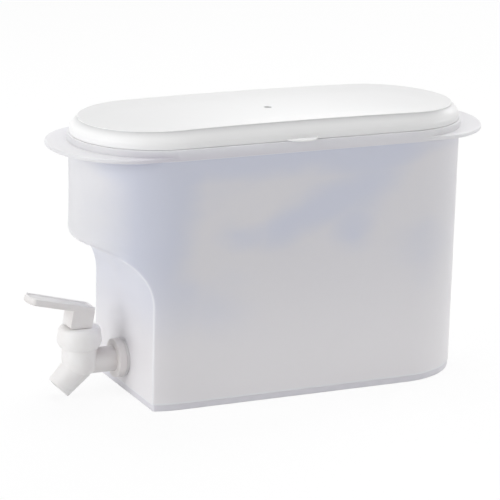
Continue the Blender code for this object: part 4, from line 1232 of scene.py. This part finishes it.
# Name, place, size and power of each lamp
LAMPS = (
    ("Key", (-2.9, -0.6, 1.2), 3.0, 39),
    ("Low left", (-3.0, 0.2, 0.5), 2.6, 18),
    ("Top", (0.05, 0.6, 1.25), 0.9, 4.5),
    ("Overhead", (0.3, 0.1, 3.0), 2.2, 17),
    ("Front", (0.3, -2.6, 2.0), 2.0, 12),
    ("Right", (2.8, -0.6, 1.0), 1.6, 8),
    ("Rear right", (2.4, 1.5, 1.6), 1.6, 18.5),
    ("Low right", (2.9, -0.9, 0.3), 1.4, 12),
)


def make_camera():
    forward = Vector((
        math.sin(CAMERA_YAW) * math.cos(CAMERA_PITCH),
        math.cos(CAMERA_YAW) * math.cos(CAMERA_PITCH),
        -math.sin(CAMERA_PITCH),
    ))
    level = Vector((math.cos(CAMERA_YAW), -math.sin(CAMERA_YAW), 0))
    rise = level.cross(forward)
    right = level * math.cos(CAMERA_ROLL) + rise * math.sin(CAMERA_ROLL)
    up = rise * math.cos(CAMERA_ROLL) - level * math.sin(CAMERA_ROLL)
    data = bpy.data.cameras.new("Camera")
    data.lens = CAMERA_LENS
    data.sensor_width = SENSOR_WIDTH
    data.clip_end = SIGHT_END
    camera = bpy.data.objects.new("Camera", data)
    turn = Matrix((right, up, -forward)).transposed().to_4x4()
    camera.matrix_world = Matrix.Translation(CAMERA_PLACE) @ turn
    bpy.context.scene.collection.objects.link(camera)
    bpy.context.scene.camera = camera


def make_lamp(name, place, target, size, power):
    data = bpy.data.lights.new(name, "AREA")
    data.shape = "DISK"
    data.size = size
    data.energy = power
    obj = bpy.data.objects.new(name, data)
    obj.location = place
    obj.rotation_euler = (target - Vector(place)).to_track_quat("-Z", "Y").to_euler()
    bpy.context.scene.collection.objects.link(obj)


def seen_directly(tree):
    """1 for rays that come straight, by a mirror or through clear material, and else 0."""
    path = add_node(tree, "ShaderNodeLightPath")
    total = path.outputs["Is Camera Ray"]
    for kind in ("Is Glossy Ray", "Is Transmission Ray"):
        either = add_node(tree, "ShaderNodeMath", operation="MAXIMUM")
        tree.links.new(total, either.inputs[0])
        tree.links.new(path.outputs[kind], either.inputs[1])
        total = either.outputs["Value"]
    return total


def show_either(tree, share, first, second, output):
    """Sends a mix of two shaders to an output."""
    either = add_node(tree, "ShaderNodeMixShader")
    tree.links.new(share, either.inputs[0])
    tree.links.new(first.outputs[0], either.inputs[1])
    tree.links.new(second.outputs[0], either.inputs[2])
    tree.links.new(either.outputs[0], add_node(tree, output).inputs["Surface"])


def make_world():
    """A dim surround that looks white to the camera."""
    world = bpy.data.worlds.new("Studio")
    bpy.context.scene.world = world
    world.use_nodes = True
    tree = world.node_tree
    tree.nodes.clear()
    ambient = add_node(tree, "ShaderNodeBackground", {"Color": WHITE, "Strength": AMBIENT})
    white = add_node(tree, "ShaderNodeBackground", {"Color": WHITE})
    show_either(tree, seen_directly(tree), ambient, white, "ShaderNodeOutputWorld")


def make_floor():
    """White paper that mostly glows to the camera, so that only a faint shadow shows on it."""
    bpy.ops.mesh.primitive_plane_add(size=FLOOR_SIZE)
    floor = added("floor")
    paper = bpy.data.materials.new("White paper")
    paper.use_nodes = True
    tree = paper.node_tree
    tree.nodes.clear()
    tone = (FLOOR_TONE, FLOOR_TONE, FLOOR_TONE, 1)
    matt = add_node(tree, "ShaderNodeBsdfDiffuse", {"Color": tone})
    glow = add_node(tree, "ShaderNodeEmission", {"Strength": FLOOR_GLOW})
    share = add_node(tree, "ShaderNodeMath", {1: 1 - FLOOR_SHOWS_LIGHT}, operation="MULTIPLY")
    tree.links.new(seen_directly(tree), share.inputs[0])
    show_either(tree, share.outputs["Value"], matt, glow, "ShaderNodeOutputMaterial")
    wear(floor, paper)


def make_studio():
    make_world()
    make_floor()
    middle = MIDDLE + Vector((0, 0, RIM_HEIGHT / 2))
    for name, place, size, power in LAMPS:
        make_lamp(name, place, middle, size, power)
    bpy.context.scene.view_settings.view_transform = "Standard"


make_camera()
make_studio()
frosted, lid_white, tap_white, silicone = make_finishes()

tub = make_tub()
wear(tub, frosted)
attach(tub, "container")
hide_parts("tank")

lid = make_lid()
wear(lid, lid_white)
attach(lid, "lid")
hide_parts("lid")

TAP_PIECES = (
    (make_tap_body, "container", "tap_body", "white_tap", tap_white),
    (make_bonnet, "container", "tap_bonnet", "white_bonnet", tap_white),
    (make_lever, "lever", "tap_lever", "white_lever", tap_white),
    (make_washer, "container", "outer_washer", "outer_silicone", silicone),
)
for make, body, node, slot, finish in TAP_PIECES:
    piece = make()
    wear(piece, finish)
    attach(piece, body)
    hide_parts(node)
for node in ("lever_pin", "valve_stem", "lock_nut"):
    wear(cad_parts[node], tap_white)
for node in ("inner_washer", "seat_cup"):
    wear(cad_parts[node], silicone)
